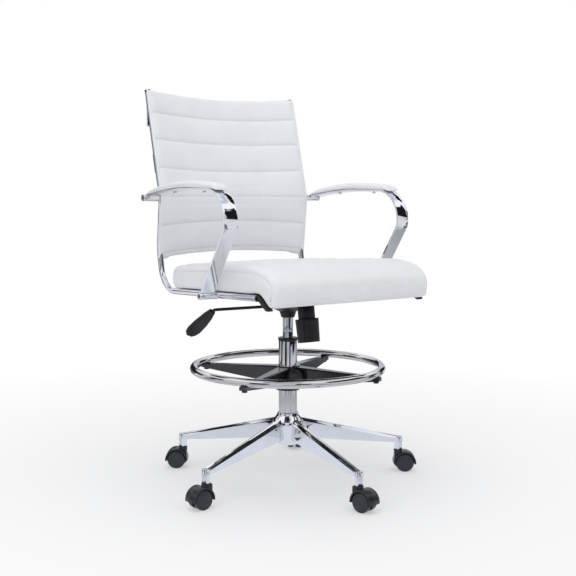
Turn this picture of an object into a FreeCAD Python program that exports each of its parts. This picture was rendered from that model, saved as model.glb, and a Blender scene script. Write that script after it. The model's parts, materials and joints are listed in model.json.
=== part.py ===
import FreeCAD
import Part
import math
import os

# Drafting chair. Millimetres, +Z up, the front of the seat towards -Y, the
# sitter's left towards +X. The origin is on the floor under the column's axis.
# The seat stands at its lowest height and the back rests on its upright stop.

os.makedirs("parts", exist_ok=True)

V = FreeCAD.Vector
X_AXIS = V(1, 0, 0)
Y_AXIS = V(0, 1, 0)
Z_AXIS = V(0, 0, 1)

# Driving sizes
BASE_REACH = 322.0          # column axis to caster stem axis
LEG_START_ANGLE = -21.1     # first leg, degrees from +X
LEG_COUNT = 5
LEG_ROOT_TOP = 171.0
LEG_TIP_TOP = 98.0
HUB_BOTTOM = 100.0
HUB_TOP = 187.0
COLUMN_RADIUS = 25.0        # 50 mm outer tube
COLUMN_TOP = 383.0
CYLINDER_RADIUS = 14.0      # 28 mm gas cylinder
CYLINDER_TOP = 466.0
RING_RADIUS = 254.0         # footring centreline
RING_TUBE = 11.0
RING_HEIGHT = 311.0
RING_ARM_ANGLES = (29.0, 119.0, 209.0, 299.0)
RING_KNOB_ANGLE = 254.0
WHEEL_RADIUS = 25.0
CASTER_TRAIL = 18.0
CASTER_TRAIL_ANGLES = (-36.0, 44.0, 144.0, 185.0, 283.0)
TUBE_RADIUS = 8.0           # 16 mm side tube
TUBE_X = 242.0              # side tube centre, either side of the middle
SEAT_HALF_WIDTH = 244.0
SEAT_PITCH = 1.86           # seat rises towards the front, degrees
SEAT_LEVEL = 522.2          # side tube centre height over the column axis
PIVOT_Y = -30.0             # tilt axle
PIVOT_Z = 488.0
RAIL_Y = 72.0               # cross rails under the seat pan, either side of the column
ARM_INNER_X = 258.0
ARM_OUTER_X = 296.0
BOSS_OUTER_X = 300.0
BOSS_RADIUS = 9.0
BACK_KINK = (256.0, 768.0)  # y, z where the side tube bends behind the sitter
BACK_TOP = (329.0, 1060.0)
RUN = 0.05                  # radial clearance of a running fit


def save(name, *shapes):
    solids = [solid for shape in shapes for solid in shape.Solids]
    shape = solids[0] if len(solids) == 1 else Part.makeCompound(solids)
    shape.exportStep("parts/" + name + ".step")


def cylinder(radius, start, end):
    axis = end.sub(start)
    return Part.makeCylinder(radius, axis.Length, start, axis)


def vertical(radius, low, high, x=0.0, y=0.0):
    return Part.makeCylinder(radius, high - low, V(x, y, low))


def ring(outer, inner, low, high, x=0.0, y=0.0):
    return vertical(outer, low, high, x, y).cut(vertical(inner, low - 1, high + 1, x, y))


def box(x0, x1, y0, y1, z0, z1):
    return Part.makeBox(x1 - x0, y1 - y0, z1 - z0, V(x0, y0, z0))


def turned(shape, angle):
    copy = shape.copy()
    copy.rotate(V(0, 0, 0), Z_AXIS, angle)
    return copy


def mirrored(shape):
    return shape.mirror(V(0, 0, 0), X_AXIS)


def revolved(points):
    # solid of revolution about Z from (radius, height) points
    wire = Part.makePolygon([V(r, 0, z) for r, z in points] + [V(points[0][0], 0, points[0][1])])
    return Part.Face(wire).revolve(V(0, 0, 0), Z_AXIS, 360)


def polar(radius, angle, z=0.0):
    return V(radius * math.cos(math.radians(angle)), radius * math.sin(math.radians(angle)), z)


def rounded_path(points, radii):
    # open wire of straight runs joined by arcs; radii are for the inner points
    edges = []
    start = points[0]
    for here, after, before, radius in zip(points[1:-1], points[2:], points[:-2], radii):
        arriving = here.sub(before).normalize()
        leaving = after.sub(here).normalize()
        turn = arriving.getAngle(leaving)
        reach = radius * math.tan(turn / 2)
        first = here.sub(arriving * reach)
        last = here.add(leaving * reach)
        inward = leaving.sub(arriving).normalize()
        middle = here.add(inward * (radius / math.cos(turn / 2) - radius))
        edges.append(Part.makeLine(start, first))
        edges.append(Part.Arc(first, middle, last).toShape())
        start = last
    edges.append(Part.makeLine(start, points[-1]))
    return Part.Wire(edges)


def swept_round(path, radius):
    start = path.OrderedEdges[0]
    direction = start.tangentAt(start.FirstParameter)
    circle = Part.Wire(Part.makeCircle(radius, start.valueAt(start.FirstParameter), direction))
    return Part.Wire(path).makePipeShell([circle], True, False)


def side_profile(points, x0, x1):
    # prism between two x planes from (y, z) points
    wire = Part.makePolygon([V(x0, y, z) for y, z in points] + [V(x0, points[0][0], points[0][1])])
    return Part.Face(wire).extrude(V(x1 - x0, 0, 0))


def flat_sweep(path, half_thickness, x0, x1):
    # flat strip whose edge follows a path lying in a plane of constant x
    start = path.OrderedEdges[0]
    at = start.valueAt(start.FirstParameter)
    along = start.tangentAt(start.FirstParameter)
    across = along.cross(X_AXIS).normalize() * half_thickness
    low = V(x0, at.y, at.z)
    high = V(x1, at.y, at.z)
    corners = [low.sub(across), high.sub(across), high.add(across), low.add(across)]
    profile = Part.makePolygon(corners + [corners[0]])
    return Part.Wire(path).makePipeShell([profile], True, False)


# ---------------------------------------------------------------- star base
# Five pressed and plated legs, deep at the hub and slender at the tip, each
# ending in an upright socket for a caster. They are welded round a turned hub.
leg_angles = [LEG_START_ANGLE + 72.0 * i for i in range(LEG_COUNT)]


def leg_section(radius, top, depth, half_width, shoulder):
    points = [
        V(radius, -half_width, top - shoulder),
        V(radius, -half_width * 0.35, top),
        V(radius, half_width * 0.35, top),
        V(radius, half_width, top - shoulder),
        V(radius, half_width * 0.8, top - depth),
        V(radius, -half_width * 0.8, top - depth),
    ]
    return Part.makePolygon(points + [points[0]])


leg = Part.makeLoft(
    [
        leg_section(33.0, LEG_ROOT_TOP, 56.0, 13.0, 8.0),
        leg_section(BASE_REACH, LEG_TIP_TOP + 1.0, 17.0, 10.0, 6.0),
    ],
    True,
    True,
)
socket = vertical(11.0, 63.0, LEG_TIP_TOP, BASE_REACH)
leg = leg.fuse(socket).removeSplitter()
leg = leg.cut(vertical(8.0, 62.0, 92.0, BASE_REACH))

hub = revolved(
    [
        (COLUMN_RADIUS, HUB_TOP),
        (28.0, HUB_TOP),
        (30.0, 180.0),
        (41.0, 164.0),
        (42.0, 156.0),
        (36.0, 132.0),
        (30.0, 112.0),
        (29.0, HUB_BOTTOM),
        (COLUMN_RADIUS, HUB_BOTTOM),
    ]
)
legs = [turned(leg, angle).cut(hub).cut(vertical(COLUMN_RADIUS, 90, 200)) for angle in leg_angles]
save("base_hub", hub)
save("base_legs", *legs)

# Nylon sleeves pressed into the leg sockets; the caster stems turn in them.
sleeves = [
    ring(8.0, 5.5 + RUN, 63.0, 92.0, polar(BASE_REACH, a).x, polar(BASE_REACH, a).y)
    for a in leg_angles
]
save("caster_sleeves", *sleeves)

# ---------------------------------------------------------------- casters
# Twin-wheel casters, modelled trailing towards +X and then turned in place:
# a hood with a web between the wheels, steel stem and axle, two solid wheels.
hood_centre = V(CASTER_TRAIL, 0, WHEEL_RADIUS)


def across(radius, y0, y1):
    return Part.makeCylinder(radius, y1 - y0, V(hood_centre.x, y0, hood_centre.z), Y_AXIS)


fender = across(31.5, -20.0, 20.0).cut(across(27.5, -21.0, 21.0))
fender = fender.cut(box(-60, 90, -30, 30, -20, 22.0))
web = across(28.0, -4.0, 4.0).cut(box(-60, 90, -30, 30, -20, 12.0))
cheek = box(-11.0, 4.0, -12.0, 12.0, 22.0, 61.0).cut(across(27.5, -21.0, -4.0)).cut(across(27.5, 4.0, 21.0))
hood = fender.fuse([web, cheek, vertical(12.0, 50.0, 62.0)]).removeSplitter()
hood = hood.cut(across(27.5, -21.0, -4.0)).cut(across(27.5, 4.0, 21.0))
stem = vertical(5.5, 46.0, 88.0)
axle = across(3.0, -19.0, 19.0)
hood = hood.cut(stem).cut(axle)
wheel = across(WHEEL_RADIUS, 4.6, 20.6)
wheel = wheel.cut(across(19.0, 18.6, 21.0)).fuse(across(7.0, 18.0, 19.6)).removeSplitter()
wheel = wheel.cut(across(3.0 + RUN, 0.0, 22.0))
near_wheel = wheel.mirror(V(0, 0, 0), Y_AXIS)

for number, (leg_angle, trail_angle) in enumerate(zip(leg_angles, CASTER_TRAIL_ANGLES), start=1):
    place = polar(BASE_REACH, leg_angle)

    def placed(shape):
        copy = turned(shape, trail_angle)
        copy.translate(place)
        return copy

    name = "caster_%d_" % number
    save(name + "hood", placed(hood))
    save(name + "pins", placed(stem), placed(axle))
    save(name + "wheel_left", placed(wheel))
    save(name + "wheel_right", placed(near_wheel))

# ---------------------------------------------------------------- column
# Chrome outer tube with a closed foot, nylon guide inside its mouth and a
# black collar on top. The piston rod hangs in the foot on a thrust bearing.
column = ring(COLUMN_RADIUS, 23.4, HUB_BOTTOM, COLUMN_TOP).fuse(vertical(24.0, HUB_BOTTOM, 104.0))
column = column.removeSplitter().cut(vertical(5.5, 90.0, 110.0))
save("outer_tube", column)
save("guide_bush", ring(23.4, CYLINDER_RADIUS + RUN, 303.0, COLUMN_TOP - 0.5))
save("top_collar", ring(26.5, CYLINDER_RADIUS + 0.1, COLUMN_TOP, 392.0))

piston_rod = vertical(5.0, 95.0, 346.0).fuse([
    vertical(CYLINDER_RADIUS - 3.0 - RUN, 345.0, 358.0),
    vertical(9.0, 112.1, 116.0),
]).removeSplitter()
piston_rod = piston_rod.cut(ring(6.0, 4.2, 97.0, 98.5))
save("piston_rod", piston_rod)
save(
    "thrust_bearing",
    ring(14.0, 5.0 + RUN, 104.0, 106.0),
    ring(13.0, 6.0, 106.0, 110.0),
    ring(14.0, 5.0 + RUN, 110.0, 112.0),
    ring(11.0, 4.3, 97.05, 98.45),
)

# Gas cylinder, a groove marking its seam, with the valve button in its top.
gas_cylinder = vertical(CYLINDER_RADIUS, 130.0, CYLINDER_TOP)
gas_cylinder = gas_cylinder.cut(vertical(CYLINDER_RADIUS - 3.0, 138.0, 440.0))
gas_cylinder = gas_cylinder.cut(vertical(5.0 + RUN, 120.0, 140.0))
gas_cylinder = gas_cylinder.cut(ring(15.0, CYLINDER_RADIUS - 0.6, 407.0, 409.0))
gas_cylinder = gas_cylinder.cut(vertical(3.5 + RUN, 445.0, 470.0))
save("gas_cylinder", gas_cylinder)
save("valve_button", vertical(3.5, 455.0, 474.6))

# ---------------------------------------------------------------- footring
# Bent chrome tube ring lying in the notched tips of a four-armed moulded
# spider, which is clamped to the column by a knob with a threaded stud.
footring = Part.makeTorus(RING_RADIUS, RING_TUBE, V(0, 0, RING_HEIGHT))
footring_hollow = Part.makeTorus(RING_RADIUS, RING_TUBE - 1.5, V(0, 0, RING_HEIGHT))
save("footring_tube", footring.cut(footring_hollow))


def arm_section(radius, low, high, half_width):
    points = [
        V(radius, -half_width, low),
        V(radius, -half_width, high - 3.0),
        V(radius, -half_width + 3.0, high),
        V(radius, half_width - 3.0, high),
        V(radius, half_width, high - 3.0),
        V(radius, half_width, low),
    ]
    return Part.makePolygon(points + [points[0]])


spider_arm = Part.makeLoft(
    [arm_section(28.0, 266.0, 314.0, 17.0), arm_section(266.0, 292.0, 303.0, 9.0)], True, True
)
spider = vertical(33.0, 250.0, 316.0)
spider = spider.fuse([turned(spider_arm, angle) for angle in RING_ARM_ANGLES])
knob_boss = cylinder(15.0, polar(20.0, RING_KNOB_ANGLE, 288.0), polar(45.0, RING_KNOB_ANGLE, 288.0))
spider = spider.fuse(knob_boss).removeSplitter()
spider = spider.cut(vertical(COLUMN_RADIUS + 0.08, 200.0, 350.0)).cut(footring)
stud = cylinder(
    4.0, polar(COLUMN_RADIUS + 0.3, RING_KNOB_ANGLE, 288.0), polar(60.0, RING_KNOB_ANGLE, 288.0)
)
stud_bore = cylinder(
    4.0 + RUN, polar(10.0, RING_KNOB_ANGLE, 288.0), polar(60.0, RING_KNOB_ANGLE, 288.0)
)
clips = []
for angle in RING_ARM_ANGLES:
    shank = cylinder(3.0, polar(RING_RADIUS, angle, 287.0), polar(RING_RADIUS, angle, 299.8))
    head = cylinder(7.0, polar(RING_RADIUS, angle, 286.0), polar(RING_RADIUS, angle, 291.0))
    spider = spider.cut(shank).cut(head)
    clips.append(head.fuse(shank).removeSplitter())
spider = spider.cut(stud_bore)
save("footring_spider", spider)
save("footring_clips", *clips)
dome_end = polar(67.0, RING_KNOB_ANGLE, 288.0)
dome = cylinder(22.0, polar(45.4, RING_KNOB_ANGLE, 288.0), dome_end)
outer_edge = [edge for edge in dome.Edges if edge.BoundBox.Center.distanceToPoint(dome_end) < 1.0]
dome = dome.makeFillet(12.0, outer_edge).cut(stud)
save("footring_knob", dome)
save("footring_stud", stud)

# ---------------------------------------------------------------- mechanism
# Pressed housing wedged on the gas cylinder: a round socket that flares into
# an open pan, with a lug in front carrying the cup of the tension spring.


def chamfered(half_x, half_y, chamfer, z):
    points = [
        V(half_x, -half_y + chamfer, z),
        V(half_x, half_y - chamfer, z),
        V(half_x - chamfer, half_y, z),
        V(-half_x + chamfer, half_y, z),
        V(-half_x, half_y - chamfer, z),
        V(-half_x, -half_y + chamfer, z),
        V(-half_x + chamfer, -half_y, z),
        V(half_x - chamfer, -half_y, z),
    ]
    return Part.makePolygon(points + [points[0]])


def pan(low, high, neck, half_x, half_y, z_flare):
    flare = Part.makeLoft(
        [chamfered(neck, neck, neck * 0.58, low), chamfered(half_x, half_y, 12.0, z_flare)], True, True
    )
    rim = Part.Face(chamfered(half_x, half_y, 12.0, z_flare)).extrude(V(0, 0, high - z_flare))
    return flare.fuse(rim)


housing = Part.makeCone(18.0, 24.0, 19.0, V(0, 0, 447.0))
housing = housing.fuse(pan(464.0, 497.0, 24.0, 50.0, 54.0, 480.0)).removeSplitter()
housing = housing.cut(pan(471.0, 499.0, 21.0, 47.0, 51.0, 483.0))
slope = side_profile([(-25.0, 497.0), (80.0, 474.0), (80.0, 520.0), (-25.0, 520.0)], -60.0, 60.0)
housing = housing.cut(slope)
lug = box(-24.0, 24.0, -100.0, -52.0, 489.0, 494.0)
housing = housing.fuse(lug).removeSplitter()
housing = housing.cut(vertical(CYLINDER_RADIUS + 0.01, 440.0, CYLINDER_TOP + 6.0))

tilt_axle = Part.makeCylinder(5.0, 120.0, V(-60.0, PIVOT_Y, PIVOT_Z), X_AXIS)
axle_bore = Part.makeCylinder(5.0 + RUN, 140.0, V(-70.0, PIVOT_Y, PIVOT_Z), X_AXIS)
housing = housing.cut(axle_bore)

# Height lever: a straight rod over the valve button, pivoted where it leaves
# the housing, bent down and back into a flat moulded paddle.
lever_inner = V(4.0, -0.4, 479.0)
lever_outer = V(-220.0, 22.8, 479.0)
lever_direction = lever_outer.sub(lever_inner).normalize()
paddle_tip = V(-250.0, 100.0, 407.0)
paddle_direction = paddle_tip.sub(lever_outer).normalize()
lever_end = lever_outer.add(paddle_direction * 22.0)
lever_path = rounded_path([lever_inner, lever_outer, lever_end], [10.0])
lever_rod = swept_round(lever_path, 4.0)
housing = housing.cut(cylinder(4.5, V(-20.0, 2.1, 479.0), lever_outer))
lever_pivot = V(-47.0, 4.88, 479.0)
lever_axis = lever_direction.cross(Z_AXIS)
for angle in (1.0, 2.0, 3.0, 4.0, 5.0):
    # room for the rod as its inner end is pressed down on the valve
    swung = cylinder(4.4, lever_inner, lever_outer)
    swung.rotate(lever_pivot, lever_axis, angle)
    housing = housing.cut(swung)

knob_tilt = math.radians(9.0)
knob_down = V(0, -math.sin(knob_tilt), -math.cos(knob_tilt))
knob_centre = V(0, -90.0, 420.0)
knob_top = knob_centre.sub(knob_down * 31.0)
knob_bottom = knob_centre.add(knob_down * 31.0)
cup_top = knob_centre.sub(knob_down * 75.0)
cup_bottom = knob_centre.sub(knob_down * 24.0)
cup = cylinder(22.5, cup_top, cup_bottom).cut(box(-30, 30, -130, -30, 489.0, 520.0))
cup = cup.cut(cylinder(19.5, knob_centre.sub(knob_down * 67.0), knob_centre.sub(knob_down * 27.0)))
bolt_bore = cylinder(5.0 + RUN, knob_centre.sub(knob_down * 90.0), knob_centre)
cup = cup.cut(bolt_bore).cut(housing)
housing = housing.cut(bolt_bore)
save("mech_housing", housing)
save("tilt_axle", tilt_axle)
save("tension_cup", cup)
coil_low = knob_centre.sub(knob_down * 28.5)
coil = Part.makeHelix(7.5, 34.0, 14.5)
coil_wire = Part.Wire(Part.makeCircle(2.0, V(14.5, 0, 0), Y_AXIS))
spring = Part.Wire(coil).makePipeShell([coil_wire], True, True)
spring.translate(V(0, 0, 2.2))
spring.rotate(V(0, 0, 0), X_AXIS, -math.degrees(knob_tilt))
spring.translate(coil_low)
save("tilt_spring", spring)

tension_knob = Part.makeCone(29.0, 31.0, 62.0, knob_bottom, knob_down * -1.0)
tension_knob = tension_knob.cut(cylinder(23.2, knob_centre.sub(knob_down * 23.2), cup_top))
for step in range(18):
    groove = Part.makeCylinder(1.6, 48.0, V(31.6, 0, -26.0))
    groove.rotate(V(0, 0, 0), Z_AXIS, step * 20.0)
    groove.rotate(V(0, 0, 0), X_AXIS, -math.degrees(knob_tilt))
    groove.translate(knob_centre)
    tension_knob = tension_knob.cut(groove)
tension_bolt = cylinder(5.0, knob_centre.sub(knob_down * 78.0), knob_centre.add(knob_down * 15.0))
bolt_head = cylinder(8.0, knob_centre.sub(knob_down * 85.0), knob_centre.sub(knob_down * 77.0))
bolt_head = bolt_head.cut(box(-30, 30, -130, -30, 470.0, 494.1))
tension_bolt = tension_bolt.fuse(bolt_head).removeSplitter()
save("tension_knob", tension_knob.cut(tension_bolt))
save("tension_bolt", tension_bolt)

blade_start = lever_outer.add(paddle_direction * 6.0)
blade_axis = paddle_direction
blade_side = V(0, 1, 0).cross(blade_axis).normalize()
blade_normal = blade_axis.cross(blade_side).normalize()


def blade_section(distance, half_width, half_thickness):
    middle = blade_start.add(blade_axis * distance)
    points = []
    for u, w in ((-1, -0.5), (-0.8, -1), (0.8, -1), (1, -0.5), (1, 0.5), (0.8, 1), (-0.8, 1), (-1, 0.5)):
        points.append(middle.add(blade_side * (u * half_width)).add(blade_normal * (w * half_thickness)))
    return Part.makePolygon(points + [points[0]])


paddle = Part.makeLoft(
    [
        blade_section(0.0, 8.0, 6.0),
        blade_section(22.0, 14.0, 7.0),
        blade_section(52.0, 18.5, 6.5),
        blade_section(82.0, 19.5, 5.5),
        blade_section(96.0, 16.0, 4.5),
        blade_section(104.0, 9.0, 3.5),
    ],
    True,
    True,
)
save("lever_paddle", paddle.cut(lever_rod))
save("lever_rod", lever_rod)

# ---------------------------------------------------------------- side tubes
# One bent tube each side: along under the seat, up behind it and on to carry
# the back, with a slight kink at the arm's rear bolt.
tube_points = [
    V(TUBE_X, -210.0, 529.0),
    V(TUBE_X, 252.0, 514.0),
    V(TUBE_X, 272.0, 632.0),
    V(TUBE_X, BACK_KINK[0], BACK_KINK[1]),
    V(TUBE_X, BACK_TOP[0], BACK_TOP[1]),
]
tube_path = rounded_path(tube_points, [75.0, 160.0, 160.0])
tube_solid = swept_round(tube_path, TUBE_RADIUS)
tube_bore = swept_round(tube_path, TUBE_RADIUS - 1.5)
tube_solids = [tube_solid, mirrored(tube_solid)]

# Chrome bosses and socket screws that hold the arms off the tubes.
REAR_BOSS = (257.0, 768.0)
FRONT_BOSS = (-36.0, 523.4)
bosses = []
arm_bolts = []
for y, z in (REAR_BOSS, FRONT_BOSS):
    boss = Part.makeCylinder(BOSS_RADIUS, BOSS_OUTER_X - TUBE_X - 3.0, V(TUBE_X + 3.0, y, z), X_AXIS)
    boss = boss.cut(tube_solid)
    boss = boss.cut(Part.makeCylinder(6.6, 10.0, V(BOSS_OUTER_X - 8.0, y, z), X_AXIS))
    boss = boss.cut(Part.makeCylinder(4.0 + RUN, 80.0, V(TUBE_X - 10.0, y, z), X_AXIS))
    boss = [solid for solid in boss.Solids if solid.BoundBox.XMax > BOSS_OUTER_X - 1][0]
    bosses.append(boss)
    bolt = Part.makeCylinder(4.0, BOSS_OUTER_X - 8.0 - TUBE_X + 4.0, V(TUBE_X - 4.0, y, z), X_AXIS)
    bolt = bolt.fuse(Part.makeCylinder(6.4, 6.5, V(BOSS_OUTER_X - 8.0, y, z), X_AXIS)).removeSplitter()
    hexagon = Part.makePolygon(
        [V(BOSS_OUTER_X - 5.0, y + 3.4 * math.cos(k * math.pi / 3), z + 3.4 * math.sin(k * math.pi / 3))
         for k in range(7)]
    )
    bolt = bolt.cut(Part.Face(hexagon).extrude(V(10.0, 0, 0)))
    arm_bolts.append(bolt)
bolt_holes = [Part.makeCylinder(4.0 + RUN, 20.0, V(TUBE_X, y, z), X_AXIS)
              for y, z in (REAR_BOSS, FRONT_BOSS)]
side_tube = tube_solid.cut(tube_bore).cut(bolt_holes[0]).cut(bolt_holes[1])
save("side_tube_left", side_tube)
save("side_tube_right", mirrored(side_tube))
save("arm_bolts", *(arm_bolts + [mirrored(bolt) for bolt in arm_bolts]))

front_plug = Part.makeCylinder(TUBE_RADIUS, 5.0, V(TUBE_X, -210.0, 529.0), V(0, -1, 0.0325))
front_plug = front_plug.fuse(
    Part.makeCylinder(TUBE_RADIUS - 1.55, 12.0, V(TUBE_X, -210.5, 529.0), V(0, 1, -0.0325)))
back_direction = V(0, BACK_TOP[0] - BACK_KINK[0], BACK_TOP[1] - BACK_KINK[1]).normalize()
top_at = V(TUBE_X, BACK_TOP[0], BACK_TOP[1])
top_plug = Part.makeCylinder(TUBE_RADIUS + 0.5, 6.0, top_at, back_direction)
top_plug = top_plug.fuse(
    Part.makeCylinder(TUBE_RADIUS - 1.55, 12.0, top_at.add(back_direction), back_direction * -1.0))
plugs = [front_plug.removeSplitter(), top_plug.removeSplitter()]
save("tube_plugs", *(plugs + [mirrored(plug) for plug in plugs]))

# ---------------------------------------------------------------- armrests
# Flat chrome strip bent into an open loop and welded to its two bosses.
arm_path = rounded_path(
    [
        V(0, REAR_BOSS[0] - 3.0, REAR_BOSS[1] + 3.0),
        V(0, 150.0, 784.0),
        V(0, 60.0, 790.0),
        V(0, -149.0, 787.0),
        V(0, -149.0, 694.0),
        V(0, FRONT_BOSS[0], FRONT_BOSS[1] + 4.0),
    ],
    [300.0, 300.0, 80.0, 38.0],
)
strip = flat_sweep(arm_path, 2.75, ARM_INNER_X, ARM_OUTER_X)
arm = strip
for y, z in (REAR_BOSS, FRONT_BOSS):
    arm = arm.cut(Part.makeCylinder(BOSS_RADIUS - 0.5, 100.0, V(TUBE_X, y, z), X_AXIS))
arm = arm.fuse(bosses).removeSplitter()
for bolt in arm_bolts:
    arm = arm.cut(bolt)


# Arm pad: padded leather sleeve along the top of the strip.
pad_top = [(246.0, 782.0), (207.0, 795.0), (167.0, 802.0), (110.0, 808.0), (58.0, 811.0),
           (7.0, 810.0), (-41.0, 808.0), (-75.0, 804.0), (-100.0, 797.0), (-107.0, 791.0)]
pad_curve = Part.BSplineCurve()
pad_curve.interpolate([V(ARM_INNER_X - 1.0, y, z) for y, z in pad_top])
pad_floor = Part.makePolygon([
    V(ARM_INNER_X - 1.0, -107.0, 791.0),
    V(ARM_INNER_X - 1.0, -104.0, 786.0),
    V(ARM_INNER_X - 1.0, -60.0, 780.0),
    V(ARM_INNER_X - 1.0, 60.0, 780.0),
    V(ARM_INNER_X - 1.0, 150.0, 776.0),
    V(ARM_INNER_X - 1.0, 242.0, 765.0),
    V(ARM_INNER_X - 1.0, 246.0, 782.0),
])
pad_face = Part.Face(Part.Wire([pad_curve.toShape()] + pad_floor.Edges))
arm_pad = pad_face.extrude(V(ARM_OUTER_X - ARM_INNER_X + 2.0, 0, 0))
pad_limit = flat_sweep(arm_path, 2.95, ARM_INNER_X - 5.0, ARM_OUTER_X + 5.0)
arm_pad = arm_pad.cut(pad_limit).cut(bosses[0])
arm_pad = max(arm_pad.Solids, key=lambda solid: solid.BoundBox.ZMax)


# Screw with a low round head under the piece it holds.
def screw(head_at, direction, length):
    head = Part.makeCylinder(5.5, 3.0, head_at, direction)
    shank = Part.makeCylinder(2.5, length, head_at, direction)
    return head.fuse(shank).removeSplitter()


frame_screws = []
for y in (120.0, -30.0):
    surface = 784.0 if y > 0 else 785.0
    pad_screw = screw(V((ARM_INNER_X + ARM_OUTER_X) / 2, y, surface - 4.0), Z_AXIS, 17.0)
    frame_screws += [pad_screw, mirrored(pad_screw)]
for item in frame_screws:
    arm = arm.cut(item)
    arm_pad = arm_pad.cut(item)
save("arm_left", arm)
save("arm_right", mirrored(arm))
save("arm_pad_left", arm_pad)
save("arm_pad_right", mirrored(arm_pad))

# ---------------------------------------------------------------- seat
# Cushion: flat underside between B0 and B1, waterfall nose down to B2.
pitch = math.tan(math.radians(SEAT_PITCH))


def seat_z(y, height):
    # world height of a level in the pitched seat frame
    return SEAT_LEVEL - pitch * y + height


B0 = (184.0, seat_z(184.0, 8.2))
B1 = (-220.0, seat_z(-220.0, 8.2))
B2 = (-262.0, 510.0)
nose = [B2, (-274.0, 510.5), (-286.5, 526.0), (-290.0, 545.0), (-281.0, 568.5), (-256.0, 588.5),
        (-215.0, 600.5), (-165.0, 604.5), (-110.0, 601.5), (-49.0, 597.0), (53.0, 592.5),
        (140.0, 588.0), (178.0, 581.5), (194.5, 567.0), (200.0, 549.0), (195.0, 533.0), B0]
cushion_curve = Part.BSplineCurve()
cushion_curve.interpolate([V(-SEAT_HALF_WIDTH, y, z) for y, z in nose])
cushion_floor = Part.makePolygon([V(-SEAT_HALF_WIDTH, y, z) for y, z in (B0, B1, B2)])
cushion_face = Part.Face(Part.Wire([cushion_curve.toShape()] + cushion_floor.Edges))
cushion = cushion_face.extrude(V(2 * SEAT_HALF_WIDTH, 0, 0))

# Moulded pan under it, with a lip that follows the nose.
PAN_HALF_WIDTH = 232.0
seat_pan = side_profile(
    [
        (172.0, seat_z(172.0, 8.0)),
        (B1[0] + 0.1, B1[1] - 0.2),
        (B2[0] + 2.0, B2[1] + 1.2),
        (B2[0] + 4.5, B2[1] - 2.0),
        (B1[0] + 1.5, B1[1] - 5.5),
        (-205.0, seat_z(-205.0, -3.0)),
        (172.0, seat_z(172.0, -3.0)),
    ],
    -PAN_HALF_WIDTH,
    PAN_HALF_WIDTH,
)
rails = []
for y in (-RAIL_Y, RAIL_Y):
    rail = side_profile(
        [
            (y - 20.0, seat_z(y - 20.0, -3.1)),
            (y + 20.0, seat_z(y + 20.0, -3.1)),
            (y + 20.0, seat_z(y + 20.0, -8.1)),
            (y - 20.0, seat_z(y - 20.0, -8.1)),
        ],
        -TUBE_X,
        TUBE_X,
    )
    rails.append(rail.cut(tube_solids[0]).cut(tube_solids[1]))
rails = [max(rail.Solids, key=lambda solid: solid.Volume) for rail in rails]

# Top plate of the mechanism with two ears down to the tilt axle.
top_plate = side_profile(
    [
        (-98.0, seat_z(-98.0, -8.2)),
        (98.0, seat_z(98.0, -8.2)),
        (98.0, seat_z(98.0, -11.2)),
        (-98.0, seat_z(-98.0, -11.2)),
    ],
    -85.0,
    85.0,
)
ear = side_profile(
    [(-58.0, seat_z(-58.0, -10.0)), (66.0, seat_z(66.0, -10.0)), (66.0, 503.0), (-6.0, 497.0),
     (-16.0, 479.0), (-52.0, 479.0), (-58.0, 486.0)],
    53.0,
    56.0,
)
top_plate = top_plate.fuse([ear, mirrored(ear)]).removeSplitter().cut(axle_bore)
seat_normal = V(0, pitch, 1).normalize()
for x in (-60.0, 60.0):
    for y in (-RAIL_Y, RAIL_Y):
        seat_screw = screw(V(x, y, seat_z(y, -14.2)), seat_normal, 17.0)
        frame_screws.append(seat_screw)
        top_plate = top_plate.cut(seat_screw)
        rails = [rail.cut(seat_screw) for rail in rails]
        seat_pan = seat_pan.cut(seat_screw)
save("mech_top_plate", top_plate)
save("seat_rails", *rails)
save("seat_pan", seat_pan)
save("seat_cushion", cushion)

# ---------------------------------------------------------------- back
# Padded ribbed panel hung between the side tubes, hollowed towards the
# middle; its plan section is swept down the line of the tubes.
BOW_RADIUS = 912.0          # plan curve of the whole back
PANEL_HALF_WIDTH = 232.0    # between the side tubes
BACK_FRONT = -8.0           # front of the panel at that width, from tube centre
PAD_THICKNESS = 14.0
SHELL_THICKNESS = 5.0
BACK_BOTTOM = (274.6, 597.0)

back_angle = math.degrees(math.atan2(back_direction.y, back_direction.z))


def in_back_frame(shape):
    # local x across, y rearward from the tube centres, z up along the tubes
    copy = shape.copy()
    copy.rotate(V(0, 0, 0), X_AXIS, -back_angle)
    copy.translate(V(0, BACK_KINK[0], BACK_KINK[1]))
    return copy


def bow_depth(x):
    # how far the middle of the back lies behind a point x from the middle
    return BOW_RADIUS - math.sqrt(BOW_RADIUS ** 2 - x ** 2)


def bowed(front, thickness, half_width, low, high):
    # upright bowed board; `front` is where its face crosses the panel's half width
    middle = front + bow_depth(PANEL_HALF_WIDTH)
    edge = middle - bow_depth(half_width)

    def face_edge(offset):
        return Part.Arc(
            V(-half_width, edge + offset, low),
            V(0, middle + offset, low),
            V(half_width, edge + offset, low),
        ).toShape()

    near = face_edge(0.0)
    far = face_edge(thickness)
    ends = [
        Part.makeLine(near.Vertexes[0].Point, far.Vertexes[0].Point),
        Part.makeLine(near.Vertexes[-1].Point, far.Vertexes[-1].Point),
    ]
    wire = Part.Wire(Part.sortEdges([near, far] + ends)[0])
    return Part.Face(wire).extrude(V(0, 0, high - low))


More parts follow.
